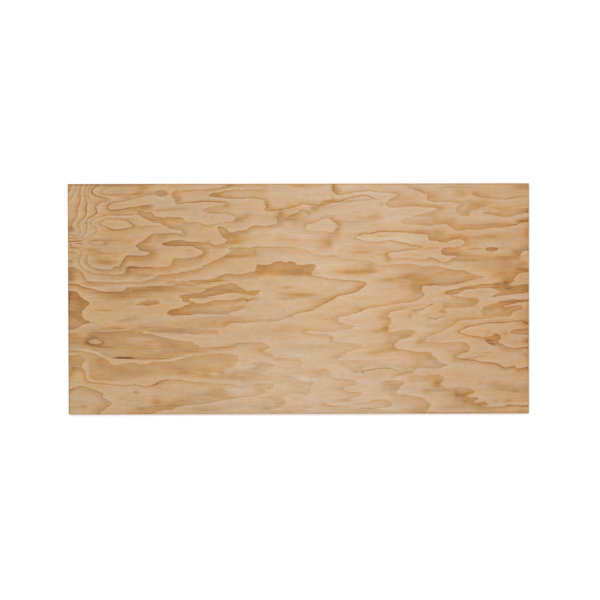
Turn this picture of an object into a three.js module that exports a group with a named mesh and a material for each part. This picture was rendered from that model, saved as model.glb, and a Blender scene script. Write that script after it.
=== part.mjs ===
// Plywood sheet: one hot-pressed panel of peeled softwood veneer, sawn square on all four edges.
//
// The sheet lies flat, as it is stacked and stored. Millimetres, +Z up.
//   X  along the sheet, which is the way the grain of the face and the back veneer runs
//   Y  across the sheet
//   Z  through the thickness, from the back veneer up to the face veneer
// The origin is the middle of the back, so the back lies in the plane Z = 0.

import * as THREE from 'three';

// ---- Driving dimensions ----

// The trimmed size of a full sheet: 8 ft by 4 ft, as it is sold in metric.
const LENGTH = 2440;
const WIDTH = 1220;
const THICKNESS = 18;

// The trim saws leave the corners square, and handling dulls their upright edges.
const CORNER_RADIUS = 1.5;
const CORNER_STEPS = 4;

// The long arrises, where the face and the back meet the sawn edges, are dulled less than that.
const ARRIS_RADIUS = 0.6;
const ARRIS_STEPS = 3;

// ---- Finish ----

const PINE_VENEER = new THREE.MeshStandardMaterial({
  name: 'pine_veneer',
  color: 0xd0ac84,
  roughness: 0.62,
  metalness: 0,
});

// ---- The sheet ----

// The plan of the sheet, centred on the origin, with its four corners rounded. Counter-clockwise.
function sheetPlan(length, width, cornerRadius) {
  const farX = length / 2;
  const farY = width / 2;
  const middleX = farX - cornerRadius;
  const middleY = farY - cornerRadius;
  const quarterTurn = Math.PI / 2;
  const corners = [
    [middleX, middleY],
    [-middleX, middleY],
    [-middleX, -middleY],
    [middleX, -middleY],
  ];
  const plan = new THREE.Shape();
  plan.moveTo(farX, middleY);
  corners.forEach(([x, y], turn) => {
    plan.absarc(x, y, cornerRadius, turn * quarterTurn, (turn + 1) * quarterTurn, false);
  });
  plan.closePath();
  return plan;
}

// The plan carried through the thickness. The bevel rounds both arrises inside the plan's outline:
// the two caps are the face and the back, and the wall between the bevels is the sawn edge.
function sheetSolid() {
  const sawnEdgeHeight = THICKNESS - 2 * ARRIS_RADIUS;
  const solid = new THREE.ExtrudeGeometry(sheetPlan(LENGTH, WIDTH, CORNER_RADIUS), {
    depth: sawnEdgeHeight,
    curveSegments: CORNER_STEPS,
    bevelEnabled: true,
    bevelThickness: ARRIS_RADIUS,
    bevelSize: ARRIS_RADIUS,
    bevelOffset: -ARRIS_RADIUS,
    bevelSegments: ARRIS_STEPS,
  });
  solid.translate(0, 0, ARRIS_RADIUS);
  return solid;
}

const plywoodSheet = new THREE.Mesh(sheetSolid(), PINE_VENEER);
plywoodSheet.name = 'plywood_sheet';

const part = new THREE.Group();
part.name = 'plywood_sheet_part';
part.add(plywoodSheet);

export default part;
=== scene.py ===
import math
import bpy
import numpy as np
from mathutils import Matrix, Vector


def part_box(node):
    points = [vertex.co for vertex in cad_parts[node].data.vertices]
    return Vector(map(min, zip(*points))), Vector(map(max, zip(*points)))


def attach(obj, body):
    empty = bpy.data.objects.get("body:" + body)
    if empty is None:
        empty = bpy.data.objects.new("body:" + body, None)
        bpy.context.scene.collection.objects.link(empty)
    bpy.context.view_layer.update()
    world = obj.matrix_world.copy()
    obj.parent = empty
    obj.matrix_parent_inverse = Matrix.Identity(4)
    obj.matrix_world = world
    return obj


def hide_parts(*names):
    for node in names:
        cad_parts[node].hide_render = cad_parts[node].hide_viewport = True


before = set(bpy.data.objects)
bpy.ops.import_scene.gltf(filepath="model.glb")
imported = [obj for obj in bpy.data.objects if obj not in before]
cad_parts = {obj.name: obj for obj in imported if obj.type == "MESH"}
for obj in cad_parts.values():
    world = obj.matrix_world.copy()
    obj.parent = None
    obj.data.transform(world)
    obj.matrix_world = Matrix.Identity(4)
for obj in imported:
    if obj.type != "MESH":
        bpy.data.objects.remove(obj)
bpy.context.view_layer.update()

# ---- The face veneer: its figure ----
# The face is one softwood veneer, peeled from a turning log by a long knife and dried flat. The knife
# meets the growth rings at a shallow angle, so each ring shows as a wandering line: crisp where dark
# latewood stops against the next pale spring wood, and fading away on its other side.

MM = 0.001  # in metres, as the scene is
low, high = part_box("plywood_sheet")
LENGTH = (high.x - low.x) / MM
WIDTH = (high.y - low.y) / MM
THICKNESS = (high.z - low.z) / MM

rings = []
stains = []


def ring(tan, fade, dark, *points, closed=False):
    """The line where a ring ends: latewood lies on the left of the way the points run, in mm from the
    near left corner. The wood there is darker by tan, which fades out over fade mm, and by dark more
    right at the line. Each of the three is one number, or a row of them spread evenly along the line. A
    line that runs off the sheet ends outside it."""
    rings.append((tan, fade, dark, points, closed))


def stain(tone, along, across, *points):
    """A soft patch round the points, darker by tone. It fades over along and across, both in mm."""
    stains.append((tone, along, across, points))


# The far left corner, where the rings turn as round a knot.
ring(0.2, 15, 0.35, (-10, 1165), (5, 1182), (13, 1198), (22, 1228))
ring(0.12, 15, 0.2, (-10, 1130), (6, 1135), (18, 1146), (28, 1162), (36, 1178), (42, 1195), (48, 1212),
     (52, 1228))
ring(0.18, 30, 0.25, (32, 966), (30, 978), (24, 990), (21, 1004), (23, 1016), (29, 1028), (39, 1040),
     (47, 1052), (51, 1066), (50, 1082), (53, 1098), (60, 1116), (66, 1135), (67, 1156), (65, 1176),
     (67, 1195), (75, 1212), (83, 1228))
ring((0.1, 0.1, 0.12, 0.38, 0.14, 0.14), (15, 15, 20, 28, 22, 18), (0.45, 0.12, 0.2, 0.25, 0.25, 0.25),
     (-10, 957), (8, 954), (28, 950), (46, 948), (60, 952), (67, 961), (68, 975), (63, 988), (57, 1000),
     (57, 1012), (64, 1022), (74, 1032), (84, 1040), (92, 1050), (98, 1064), (99, 1080), (98, 1098),
     (102, 1115), (101, 1131), (98, 1146), (94, 1160), (92, 1175), (95, 1190), (101, 1206), (107, 1228))
ring((0.22, 0.15, 0.1), 18, 0.28, (140, 1129), (131, 1133), (121, 1141), (112, 1153), (109, 1166),
     (109, 1181), (114, 1196), (123, 1211), (132, 1228))
ring((0.12, 0.1, 0.1, 0.25, 0.32, 0.22, 0.15, 0.2, 0.2, 0.12), (22, 22, 18, 22, 28, 28, 22, 22, 22, 22),
     (0.25, 0.2, 0.1, 0.35, 0.4, 0.12, 0.03, 0.45, 0.5, 0.3), (-10, 935), (20, 935), (42, 933), (64, 935),
     (78, 943), (87, 955), (96, 969), (101, 986), (101, 1006), (99, 1024), (105, 1036), (114, 1043),
     (127, 1050), (142, 1058), (152, 1067), (157, 1078), (152, 1088), (149, 1098), (153, 1110), (168, 1120),
     (190, 1127), (215, 1134), (229, 1141), (218, 1148), (195, 1152), (170, 1156), (151, 1162), (138, 1169),
     (130, 1179), (129, 1189), (134, 1198), (147, 1207), (160, 1215), (170, 1228))
# The left end below that corner.
ring(0.08, 10, (0.5, 0.6, 0.75, 0.5, 0.4), (-10, 917), (20, 919), (42, 920), (64, 920), (78, 924), (92, 933),
     (105, 944))
ring(0, 8, 0.65, (25, 907), (45, 909), (65, 908), (85, 905))
ring(0, 8, 0.5, (2, 932), (9, 916), (16, 901), (20, 885), (24, 868))
ring(0, 8, 0.3, (0, 858), (25, 861), (42, 858), (52, 846), (51, 830))
ring(0.1, 18, 0.12, (121, 911), (135, 920), (160, 922), (185, 919), (195, 911), (188, 903), (160, 899),
     (135, 902), closed=True)
ring(0, 8, 0.2, (130, 925), (190, 928), (250, 926))
# Right of the corner: a line that runs out under it, a closed ring and two tongues.
ring((0.06, 0.05, 0.05, 0.1, 0.05, 0.06), (18, 18, 18, 18, 35, 30), (0.3, 0.3, 0.15, 0.35, 0.35, 0.12),
     (106, 934), (124, 946), (140, 957), (151, 970), (152, 986), (141, 999), (127, 1008), (121, 1018),
     (128, 1030), (148, 1042), (172, 1051), (205, 1058), (260, 1058), (335, 1058), (365, 1055))
ring(0.1, 22, (0.12, 0.22, 0.3, 0.35, 0.4, 0.4, 0.2), (170, 1012), (181, 1026), (200, 1034), (230, 1036),
     (262, 1035), (292, 1033), (318, 1027), (336, 1014), (348, 1004), (352, 999), (335, 993), (310, 988),
     (284, 983), (256, 980), (230, 984), (212, 993), (198, 1001), (182, 1006), closed=True)
ring((0.36, 0.22, 0.2, 0.06, 0.06), (42, 42, 30, 40, 50), (0.3, 0.3, 0.5, 0.1, 0.1), (470, 1114),
     (438, 1112), (403, 1107), (368, 1102), (338, 1099), (299, 1092), (262, 1086), (232, 1085), (217, 1090),
     (210, 1100), (216, 1112), (236, 1122), (270, 1128), (305, 1134), (345, 1144), (385, 1154), (430, 1165),
     (480, 1167))
ring((0.1, 0.1, 0.05, 0.02), 22, (0.3, 0.35, 0.12, 0.05, 0.05), (400, 1179), (351, 1170), (281, 1168),
     (221, 1168), (195, 1170), (182, 1175), (180, 1183), (190, 1193), (212, 1202), (260, 1206), (330, 1207),
     (400, 1203))
# By the far side, from 460 to 880 mm.
ring(0.32, 40, 0.05, (462, 1170), (478, 1160), (500, 1157), (522, 1160), (527, 1170), (515, 1182),
     (495, 1188), (475, 1184), closed=True)
ring(0.32, 75, 0.1, (600, 1187), (570, 1185), (553, 1173), (547, 1160), (560, 1148), (570, 1135),
     (571, 1118), (580, 1112), (620, 1117))
ring((0.2, 0.12, 0.05), 18, (0.3, 0.25, 0.2), (880, 1217), (850, 1209), (800, 1199), (750, 1192),
     (650, 1188), (560, 1184))
ring((0.06, 0.1, 0.1, 0.06), 14, (0.3, 0.4, 0.55, 0.5, 0.4, 0.3), (570, 1116), (620, 1122), (680, 1125),
     (710, 1130), (740, 1130), (800, 1126), (835, 1122), (858, 1108))
# From 880 mm, round a pale bay, and back along a wavy brown body towards the left end.
ring((0.2, 0.14, 0.08, 0.3, 0.38, 0.18, 0.42, 0.42, 0.12), (38, 30, 25, 40, 42, 28, 65, 42, 25),
     (0.08, 0.1, 0.2, 0.1, 0.12, 0.2, 0.12, 0.2, 0.08), (880, 1105), (829, 1104), (794, 1102), (752, 1100),
     (733, 1092), (715, 1082), (735, 1073), (755, 1066), (781, 1065), (829, 1066), (858, 1060), (884, 1052),
     (893, 1039), (887, 1027), (864, 1020), (829, 1019), (794, 1014), (768, 1008), (742, 1004), (716, 1006),
     (703, 1014), (692, 1019), (629, 1019), (616, 1026), (613, 1037), (599, 1043), (560, 1044), (527, 1048),
     (508, 1042), (490, 1045), (462, 1045), (455, 1054), (448, 1068), (430, 1073), (403, 1072), (387, 1078),
     (374, 1081), (371, 1074), (378, 1062), (392, 1050), (412, 1040), (434, 1031), (452, 1022), (482, 1018),
     (500, 1012), (520, 998), (536, 989), (560, 985), (590, 983), (607, 976), (618, 965), (616, 956),
     (603, 952), (588, 958), (560, 961), (520, 960), (480, 960), (453, 963), (439, 953), (424, 940),
     (408, 927), (392, 915), (372, 906), (360, 894), (373, 883), (390, 873), (412, 868), (430, 864),
     (437, 855), (425, 848), (405, 843), (370, 842), (330, 844), (311, 840), (298, 828), (289, 816),
     (281, 801), (277, 788), (270, 781), (262, 784), (251, 785), (238, 775), (221, 770), (195, 769),
     (164, 772), (142, 778), (125, 784), (113, 793), (105, 806), (101, 823), (104, 841), (113, 857),
     (128, 867))
# The long dark tongue by the far side, its hook and the ridge that runs on to the right.
ring((0.08, 0.3, 0.12, 0.15, 0.2, 0.02), (25, 30, 25, 42, 25, 12), (0.15, 0.15, 0.35, 0.3, 0.4, 0.5),
     (1060, 1197), (994, 1193), (955, 1191), (911, 1190), (864, 1189), (829, 1184), (803, 1176), (778, 1173),
     (760, 1170), (750, 1163), (761, 1156), (790, 1153), (829, 1150), (881, 1146), (916, 1145), (955, 1148),
     (994, 1146), (1022, 1142), (1042, 1137), (1044, 1124), (1042, 1114), (1049, 1107), (1056, 1102),
     (1053, 1094), (1041, 1090), (1049, 1084), (1065, 1080), (1085, 1079), (1104, 1083), (1124, 1085),
     (1146, 1090), (1172, 1095), (1203, 1101), (1225, 1107), (1242, 1115), (1258, 1114), (1278, 1112),
     (1305, 1110), (1325, 1109), (1345, 1111), (1375, 1116), (1402, 1124), (1430, 1127), (1450, 1133),
     (1475, 1141), (1500, 1147), (1528, 1152), (1555, 1157), (1580, 1157), (1600, 1151), (1625, 1141),
     (1645, 1135))
ring(0.25, 22, 0.08, (1410, 1133), (1385, 1132), (1368, 1131), (1352, 1126), (1340, 1118), (1325, 1110),
     (1300, 1108))
ring(0.22, 45, 0.2, (1300, 1065), (1262, 1081), (1230, 1083), (1213, 1071), (1194, 1060), (1172, 1050),
     (1150, 1042), (1128, 1035))
# The next ring towards the near side, from 1110 mm to the left end.
ring((0.18, 0.38, 0.2, 0.5, 0.42, 0.25, 0.22, 0.16, 0.05), (28, 45, 50, 28, 28, 60, 50, 26, 15),
     (0.2, 0.1, 0.3, 0.05, 0.1, 0.06, 0.2, 0.22, 0.1), (1085, 1062), (1092, 1049), (1107, 1042),
     (1109, 1031), (1112, 1020), (1100, 1009), (1081, 1002), (1055, 998), (1020, 998), (985, 999),
     (966, 993), (952, 983), (936, 976), (915, 972), (898, 972), (881, 965), (855, 962), (846, 972),
     (832, 987), (812, 995), (797, 995), (794, 983), (801, 970), (813, 953), (823, 941), (842, 931),
     (849, 919), (836, 908), (803, 900), (776, 899), (752, 909), (737, 913), (690, 913), (650, 914),
     (611, 921), (598, 925), (564, 922), (529, 917), (506, 910), (499, 905), (506, 901), (529, 897),
     (586, 895), (641, 896), (659, 891), (681, 882), (703, 873), (720, 865), (720, 857), (706, 851),
     (697, 843), (684, 835), (650, 831), (600, 827), (562, 829), (553, 822), (554, 806), (542, 792),
     (529, 783), (477, 781), (442, 781), (430, 785), (403, 780), (377, 781), (355, 785), (329, 786),
     (314, 780), (307, 768), (303, 756), (282, 744), (238, 741), (203, 744), (151, 748), (121, 754),
     (103, 765), (86, 776), (71, 789), (63, 802), (60, 818), (65, 834), (74, 848), (76, 860), (68, 872),
     (56, 882), (38, 888), (-10, 890))
# A pale bay with a dark rim, and a line beside it.
ring((0.16, 0.1), 30, (0.16, 0.1), (1256, 985), (1256, 1000), (1275, 1012), (1311, 1018), (1333, 1027),
     (1352, 1039), (1372, 1043), (1385, 1037), (1403, 1026), (1424, 1013), (1434, 1000), (1423, 985),
     (1412, 971), (1398, 960), (1382, 961), (1375, 968), (1340, 970), (1294, 970), (1266, 974), closed=True)
ring(0.12, 20, 0.45, (1360, 1048), (1385, 1040), (1405, 1028), (1427, 1013), (1436, 997))
# The next ring again, from 1640 mm to the left end.
ring((0.1, 0.13, 0.12, 0.32, 0.28, 0.25, 0.12, 0.3), (30, 22, 40, 65, 38, 35, 18, 45),
     (0.08, 0.02, 0.08, 0, 0.05, 0.12, 0.3, 0.1), (1640, 775), (1632, 792), (1615, 803), (1598, 812),
     (1568, 817), (1516, 821), (1463, 828), (1429, 834), (1416, 841), (1368, 841), (1329, 845), (1294, 856),
     (1260, 870), (1224, 880), (1172, 886), (1107, 887), (1022, 887), (1010, 894), (998, 895), (985, 887),
     (968, 884), (916, 884), (864, 884), (853, 876), (862, 866), (853, 855), (833, 845), (826, 835),
     (798, 826), (772, 815), (750, 804), (735, 795), (715, 788), (703, 778), (672, 768), (645, 763),
     (621, 757), (573, 748), (538, 743), (499, 742), (477, 737), (456, 722), (434, 715), (408, 707),
     (395, 702), (347, 702), (299, 702), (255, 700), (195, 702), (129, 702), (103, 707), (94, 718),
     (86, 733), (73, 755), (60, 768), (42, 777), (20, 781), (-10, 779))
# A pale lens from 1514 to 2105 mm, and the pale bay below it.
ring((0.13, 0.1, 0.08, 0.35, 0.28, 0.38, 0.12), (22, 22, 18, 38, 45, 38, 20),
     (0.35, 0.2, 0.45, 0.15, 0.12, 0.05, 0.22), (1868, 888), (1855, 896), (1824, 895), (1805, 900),
     (1790, 906), (1763, 909), (1733, 917), (1707, 921), (1676, 917), (1646, 912), (1620, 914), (1590, 916),
     (1563, 918), (1546, 924), (1529, 928), (1514, 932), (1527, 943), (1546, 953), (1568, 958), (1598, 955),
     (1611, 957), (1630, 965), (1650, 969), (1681, 969), (1729, 967), (1772, 966), (1824, 961), (1850, 957),
     (1880, 956), (1903, 951), (1905, 938), (1915, 922), (1943, 922), (1969, 915), (2000, 912), (2017, 920),
     (2039, 927), (2073, 930), (2099, 923), (2105, 912), (2099, 904), (2082, 891), (2056, 884), (2020, 882),
     (1990, 877), (1976, 865), (1975, 856), (1983, 849), (2000, 843), (2039, 842), (2060, 840), (2063, 835),
     (2056, 829), (2035, 825), (2020, 815), (2005, 808), (1982, 807), (1965, 813), (1939, 823), (1921, 831),
     (1911, 830), (1905, 823), (1860, 819), (1800, 817))
ring((0.2, 0.14, 0.12), (30, 28, 30), (0.4, 0.3, 0.3), (1708, 817), (1700, 824), (1690, 836), (1687, 848),
     (1698, 857), (1722, 861), (1757, 864), (1800, 870), (1848, 879), (1868, 888))
# From the far side at 1400 mm, round a tongue and a bay, to the right end, and a line within it.
ring((0.14, 0.06, 0.24, 0.24, 0.13, 0.18, 0.2, 0.25), (35, 20, 50, 24, 40, 60, 32, 26),
     (0.3, 0.28, 0.14, 0.14, 0.02, 0.08, 0.18, 0.2), (1400, 1228), (1404, 1202), (1406, 1189), (1411, 1174),
     (1429, 1164), (1463, 1165), (1490, 1172), (1524, 1180), (1555, 1183), (1598, 1184), (1620, 1180),
     (1646, 1177), (1676, 1175), (1722, 1173), (1740, 1168), (1742, 1158), (1728, 1147), (1702, 1135),
     (1684, 1121), (1681, 1111), (1688, 1103), (1707, 1098), (1750, 1099), (1824, 1101), (1860, 1101),
     (1904, 1097), (1947, 1095), (1978, 1089), (1984, 1088), (1972, 1086), (1950, 1081), (1930, 1072),
     (1905, 1066), (1878, 1061), (1846, 1055), (1815, 1044), (1785, 1035), (1760, 1024), (1768, 1013),
     (1810, 1009), (1860, 1006), (1897, 1003), (1921, 998), (1943, 1007), (1978, 1010), (2004, 1012),
     (2015, 1003), (2031, 992), (2046, 981), (2056, 974), (2075, 974), (2100, 978), (2126, 983), (2169, 979),
     (2195, 981), (2221, 986), (2252, 991), (2295, 990), (2330, 995), (2370, 1002), (2387, 1008),
     (2400, 1018), (2450, 1021))
ring((0.24, 0.14), (35, 20), (0.1, 0.16), (1775, 1198), (1810, 1196), (1839, 1191), (1862, 1180),
     (1884, 1170), (1904, 1164), (1905, 1157), (1901, 1144), (1914, 1131), (1947, 1127), (2004, 1128),
     (2030, 1126), (2056, 1122), (2090, 1121))
# The right end, from the far side to a small dark knot at 2240 mm.
ring((0.24, 0.1), (26, 20), (0.08, 0.22), (2160, 1180), (2142, 1172), (2138, 1164), (2156, 1157),
     (2187, 1150), (2221, 1148), (2252, 1143), (2286, 1138), (2317, 1138), (2348, 1143), (2378, 1149),
     (2450, 1153))
ring(0.2, 60, 0, (2094, 1118), (2080, 1108), (2062, 1097), (2054, 1086), (2059, 1073), (2073, 1060),
     (2084, 1052), (2110, 1050), (2121, 1052), (2126, 1063), (2128, 1075), (2150, 1082), (2169, 1089),
     (2187, 1097), (2215, 1106), (2250, 1107))
ring(0.22, 25, 0.08, (2260, 1078), (2215, 1072), (2191, 1066), (2198, 1064), (2221, 1063), (2252, 1057),
     (2286, 1050), (2326, 1047), (2361, 1053), (2395, 1062), (2450, 1070))
ring(0, 10, 0.15, (2225, 1098), (2255, 1092), (2286, 1087), (2320, 1091), (2348, 1098), (2390, 1102),
     (2450, 1107))
ring(0.42, 35, 0.05, (2210, 874), (2225, 865), (2246, 860), (2265, 868), (2275, 876), (2260, 882),
     (2220, 882), closed=True)
ring(0.4, 45, 0.1, (2378, 828), (2391, 837), (2395, 848), (2404, 859), (2414, 867), (2437, 870), (2450, 870))
# The long ring in the middle, from 800 mm round a tongue at 1579 mm and back to 500 mm.
ring((0.22, 0.12, 0.2, 0.26, 0.08, 0.42, 0.42, 0.3, 0.15), (38, 28, 35, 32, 20, 70, 50, 24, 50),
     (0.1, 0.08, 0.26, 0.4, 0.25, 0.05, 0.03, 0.08, 0.2), (800, 457), (829, 470), (846, 479), (864, 489),
     (907, 489), (933, 487), (976, 493), (1063, 497), (1103, 498), (1124, 502), (1159, 515), (1185, 523),
     (1211, 537), (1250, 545), (1296, 554), (1317, 568), (1344, 583), (1380, 600), (1404, 616), (1426, 628),
     (1467, 637), (1505, 644), (1527, 654), (1551, 668), (1567, 683), (1579, 698), (1546, 706), (1490, 710),
     (1455, 711), (1424, 716), (1372, 719), (1342, 728), (1320, 731), (1298, 735), (1285, 746), (1285, 757),
     (1298, 768), (1310, 784), (1303, 793), (1285, 797), (1250, 791), (1220, 792), (1203, 797), (1190, 807),
     (1177, 812), (1163, 807), (1150, 803), (1129, 811), (1107, 810), (1085, 803), (1064, 795), (1046, 791),
     (1020, 792), (1000, 794), (999, 781), (992, 770), (990, 757), (976, 755), (950, 751), (929, 745),
     (898, 743), (864, 745), (837, 745), (822, 740), (803, 732), (785, 723), (759, 718), (746, 714),
     (716, 712), (672, 711), (620, 708), (560, 707), (500, 709))
# From there to the left end.
ring(0, 10, (0.3, 0.5, 0.8), (685, 702), (730, 705), (776, 706), (800, 710), (828, 714))
ring(0, 10, 0.6, (636, 708), (652, 708), (672, 709))
ring((0.02, 0.36, 0.38, 0.22), (16, 26, 55, 24), (0, 0.1, 0.05, 0.35), (800, 676), (740, 672), (700, 676),
     (625, 692), (572, 691), (556, 682), (520, 680), (477, 681), (429, 681), (390, 678), (347, 678),
     (321, 677), (307, 668), (294, 655), (255, 650), (195, 651), (164, 656), (142, 664), (108, 671),
     (82, 676), (60, 684), (42, 692), (-10, 693))
ring((0.3, 0.58), 130, (0.1, 0.08), (-10, 457), (20, 456), (42, 461), (64, 473), (85, 484), (114, 494),
     (92, 501), (77, 513), (70, 533), (74, 555), (92, 574), (110, 591), (101, 602), (78, 614), (56, 636),
     (39, 653), (-10, 656))
# Dark islands and a brown tongue, from 362 to 1012 mm.
ring((0.52, 0.4, 0.32, 0.5), 40, 0.02, (588, 625), (615, 619), (650, 620), (703, 621), (729, 623),
     (746, 628), (759, 632), (800, 637), (829, 644), (864, 647), (890, 647), (907, 643), (946, 638),
     (976, 632), (998, 637), (1010, 646), (1012, 658), (976, 656), (940, 655), (926, 663), (905, 677),
     (888, 689), (855, 696), (829, 690), (790, 684), (759, 673), (735, 666), (722, 654), (698, 644),
     (664, 641), (629, 637), (598, 632), closed=True)
ring(0.4, 25, 0.05, (603, 608), (615, 600), (640, 597), (641, 606), (620, 614), closed=True)
ring(0.28, 30, 0, (362, 580), (395, 584), (421, 580), (460, 586), (485, 594), (476, 606), (438, 609),
     (403, 606), (386, 597), (366, 586), closed=True)
ring((0.1, 0.45, 0.45, 0.12), (25, 55, 50, 50), (0.3, 0.05, 0.1, 0.2), (992, 614), (972, 611), (958, 606),
     (940, 612), (924, 618), (907, 612), (881, 606), (829, 606), (781, 605), (746, 597), (724, 590),
     (694, 588), (672, 592), (655, 599), (645, 595), (636, 582), (620, 575), (600, 571), (586, 563),
     (560, 561), (540, 556), (528, 546), (524, 537), (545, 527), (564, 528), (625, 531), (655, 532),
     (672, 537), (716, 537), (829, 536), (848, 539), (864, 547), (898, 557), (929, 565), (950, 577))
ring(0.05, 15, 1.0, (935, 598), (950, 602), (966, 608), (988, 614))
# From 1700 mm, round a pale pocket and a tongue, and on to a brown body and its point at 2204 mm.
ring((0.08, 0.12, 0.1, 0.1, 0.12, 0.14, 0.12, 0.22, 0.2, 0.2, 0.2, 0.05),
     (60, 30, 45, 22, 28, 32, 22, 90, 80, 60, 80, 20),
     (0, 0.03, 0.04, 0.12, 0.02, 0.3, 0.12, 0.25, 0.25, 0.14, 0.1, 0.12), (1700, 268), (1685, 273),
     (1655, 278), (1600, 285), (1560, 287), (1480, 287), (1440, 285), (1424, 289), (1422, 297), (1430, 304),
     (1442, 309), (1452, 318), (1475, 332), (1500, 342), (1530, 350), (1553, 356), (1548, 363), (1525, 371),
     (1490, 377), (1450, 379), (1420, 383), (1400, 388), (1395, 402), (1391, 414), (1381, 420), (1359, 424),
     (1307, 424), (1276, 427), (1250, 433), (1240, 439), (1262, 446), (1283, 449), (1307, 446), (1333, 441),
     (1359, 438), (1394, 438), (1422, 442), (1446, 447), (1490, 456), (1511, 465), (1500, 471), (1468, 476),
     (1446, 481), (1431, 490), (1428, 503), (1427, 514), (1440, 521), (1465, 524), (1492, 530), (1520, 538),
     (1548, 548), (1572, 558), (1598, 564), (1630, 570), (1676, 576), (1724, 585), (1759, 591), (1794, 594),
     (1828, 598), (1846, 605), (1860, 614), (1874, 624), (1884, 631), (1882, 640), (1869, 648), (1864, 657),
     (1869, 669), (1867, 679), (1880, 684), (1905, 684), (1930, 686), (1955, 685), (1980, 680), (2005, 682),
     (2030, 685), (2050, 690), (2075, 698), (2100, 703), (2125, 709), (2150, 717), (2180, 723), (2204, 727),
     (2175, 732), (2150, 737), (2130, 744), (2115, 752), (2100, 760), (2075, 761), (2050, 760), (2025, 766),
     (2000, 773), (1980, 778), (1965, 784), (1930, 785), (1900, 781), (1880, 780), (1850, 788), (1825, 793),
     (1785, 797), (1742, 794), (1698, 789), (1655, 789), (1630, 795), (1615, 803))
ring((0.25, 0.22), (60, 30), (0, 0.08), (1850, 447), (1802, 446), (1772, 442), (1729, 437), (1703, 435),
     (1691, 445), (1692, 462), (1703, 475), (1708, 490), (1704, 507), (1694, 520), (1698, 538), (1710, 545),
     (1733, 551), (1763, 557), (1800, 558))
ring(0, 10, 0.4, (1495, 532), (1523, 540), (1550, 550), (1575, 560), (1602, 566))
# The long brown tongue from 1238 to 379 mm, the lines left of it, and a small knot.
ring((0.07, 0.16, 0.14, 0.25, 0.25, 0.3, 0.2), (22, 35, 22, 90, 60, 45, 80),
     (0.08, 0.02, 0.16, 0.03, 0.12, 0.04, 0.03), (1180, 254), (1222, 254), (1235, 264), (1238, 278),
     (1228, 288), (1205, 294), (1150, 298), (1110, 300), (1095, 304), (1080, 312), (1065, 320), (1046, 327),
     (1028, 336), (1044, 346), (1062, 352), (1062, 362), (1048, 372), (1030, 379), (1000, 381), (950, 380),
     (910, 378), (890, 374), (870, 367), (850, 361), (800, 357), (750, 354), (715, 352), (690, 352),
     (681, 358), (692, 366), (665, 372), (655, 381), (640, 387), (600, 388), (560, 393), (530, 402),
     (490, 411), (456, 420), (442, 427), (412, 427), (379, 434), (394, 443), (412, 448), (427, 445),
     (438, 440), (477, 438), (520, 435), (564, 431), (625, 432), (672, 428), (733, 433), (785, 429),
     (794, 436), (791, 446), (781, 452), (785, 460), (803, 466))
ring(0.38, 90, 0, (385, 450), (347, 450), (299, 446), (247, 442), (203, 438), (151, 437), (108, 435),
     (80, 428))
ring(0.08, 25, 0.12, (215, 454), (260, 456), (330, 459), (400, 460), (470, 461))
ring(0.45, 30, 0, (106, 388), (120, 398), (140, 404), (160, 399), (180, 387), (165, 376), (140, 373),
     (120, 376), closed=True)
# The brown body round the split, and a dark line along the split, which is painted shade for the depth of its
# groove.
ring((0.12, 0.2, 0.27, 0.2), (90, 90, 80, 100), (0, 0.1, 0.02, 0.08), (825, 240), (836, 246), (855, 250),
     (868, 256), (876, 268), (888, 280), (898, 292), (900, 304), (888, 314), (860, 321), (825, 325),
     (790, 323), (750, 318), (700, 312), (640, 309), (612, 301), (590, 292), (560, 285), (520, 281),
     (470, 280), (440, 278), (425, 272), (400, 267), (375, 268), (350, 274), (330, 276), (300, 272),
     (270, 266), (240, 267), (222, 271), (208, 285), (190, 299), (160, 311), (130, 324), (100, 333),
     (60, 340), (10, 338))
ring((0.12, 0.18, 0.25, 0.25), (30, 45, 60, 70, 60), 0.06, (30, 353), (100, 352), (150, 339), (188, 320),
     (212, 306), (240, 300), (300, 297), (380, 294), (460, 294), (530, 298), (600, 312), (650, 328),
     (700, 341))
# Painted shade: the darkest line, laid along the split's groove.
ring(0, 8, (1.6, 1.9, 1.0, 1.9, 1.0), (228, 301), (250, 301), (280, 302), (316, 301), (362, 300))
# The near left corner.
ring((0.08, 0.08, 0.02, 0.25), (20, 20, 10, 70), (0.1, 0.38, 0.34, 0.15), (778, 168), (735, 171), (700, 171),
     (660, 173), (625, 178), (590, 183), (540, 185), (500, 182), (484, 177), (470, 167), (452, 160),
     (428, 152), (400, 150), (375, 157), (345, 160), (310, 158), (290, 155), (260, 159), (230, 160),
     (200, 165), (160, 167), (130, 170), (108, 176), (95, 184), (88, 196), (87, 212), (88, 226), (78, 238),
     (70, 250), (68, 262), (74, 277), (82, 290), (78, 302), (64, 313), (48, 318), (25, 315), (-10, 308))
ring((0.2, 0.12, 0.14), 60, 0.02, (112, 310), (110, 290), (109, 260), (109, 220), (114, 200), (130, 191),
     (150, 187), (180, 188))
ring((0.15, 0.28), (55, 35), (0.12, 0.22), (160, -10), (166, 12), (178, 24), (192, 33), (208, 46), (229, 59),
     (221, 69), (206, 76), (190, 84), (180, 92), (177, 101), (182, 113), (160, 122), (140, 130), (120, 138),
     (100, 145), (80, 151), (55, 152), (35, 148), (20, 140), (-10, 125))
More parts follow.
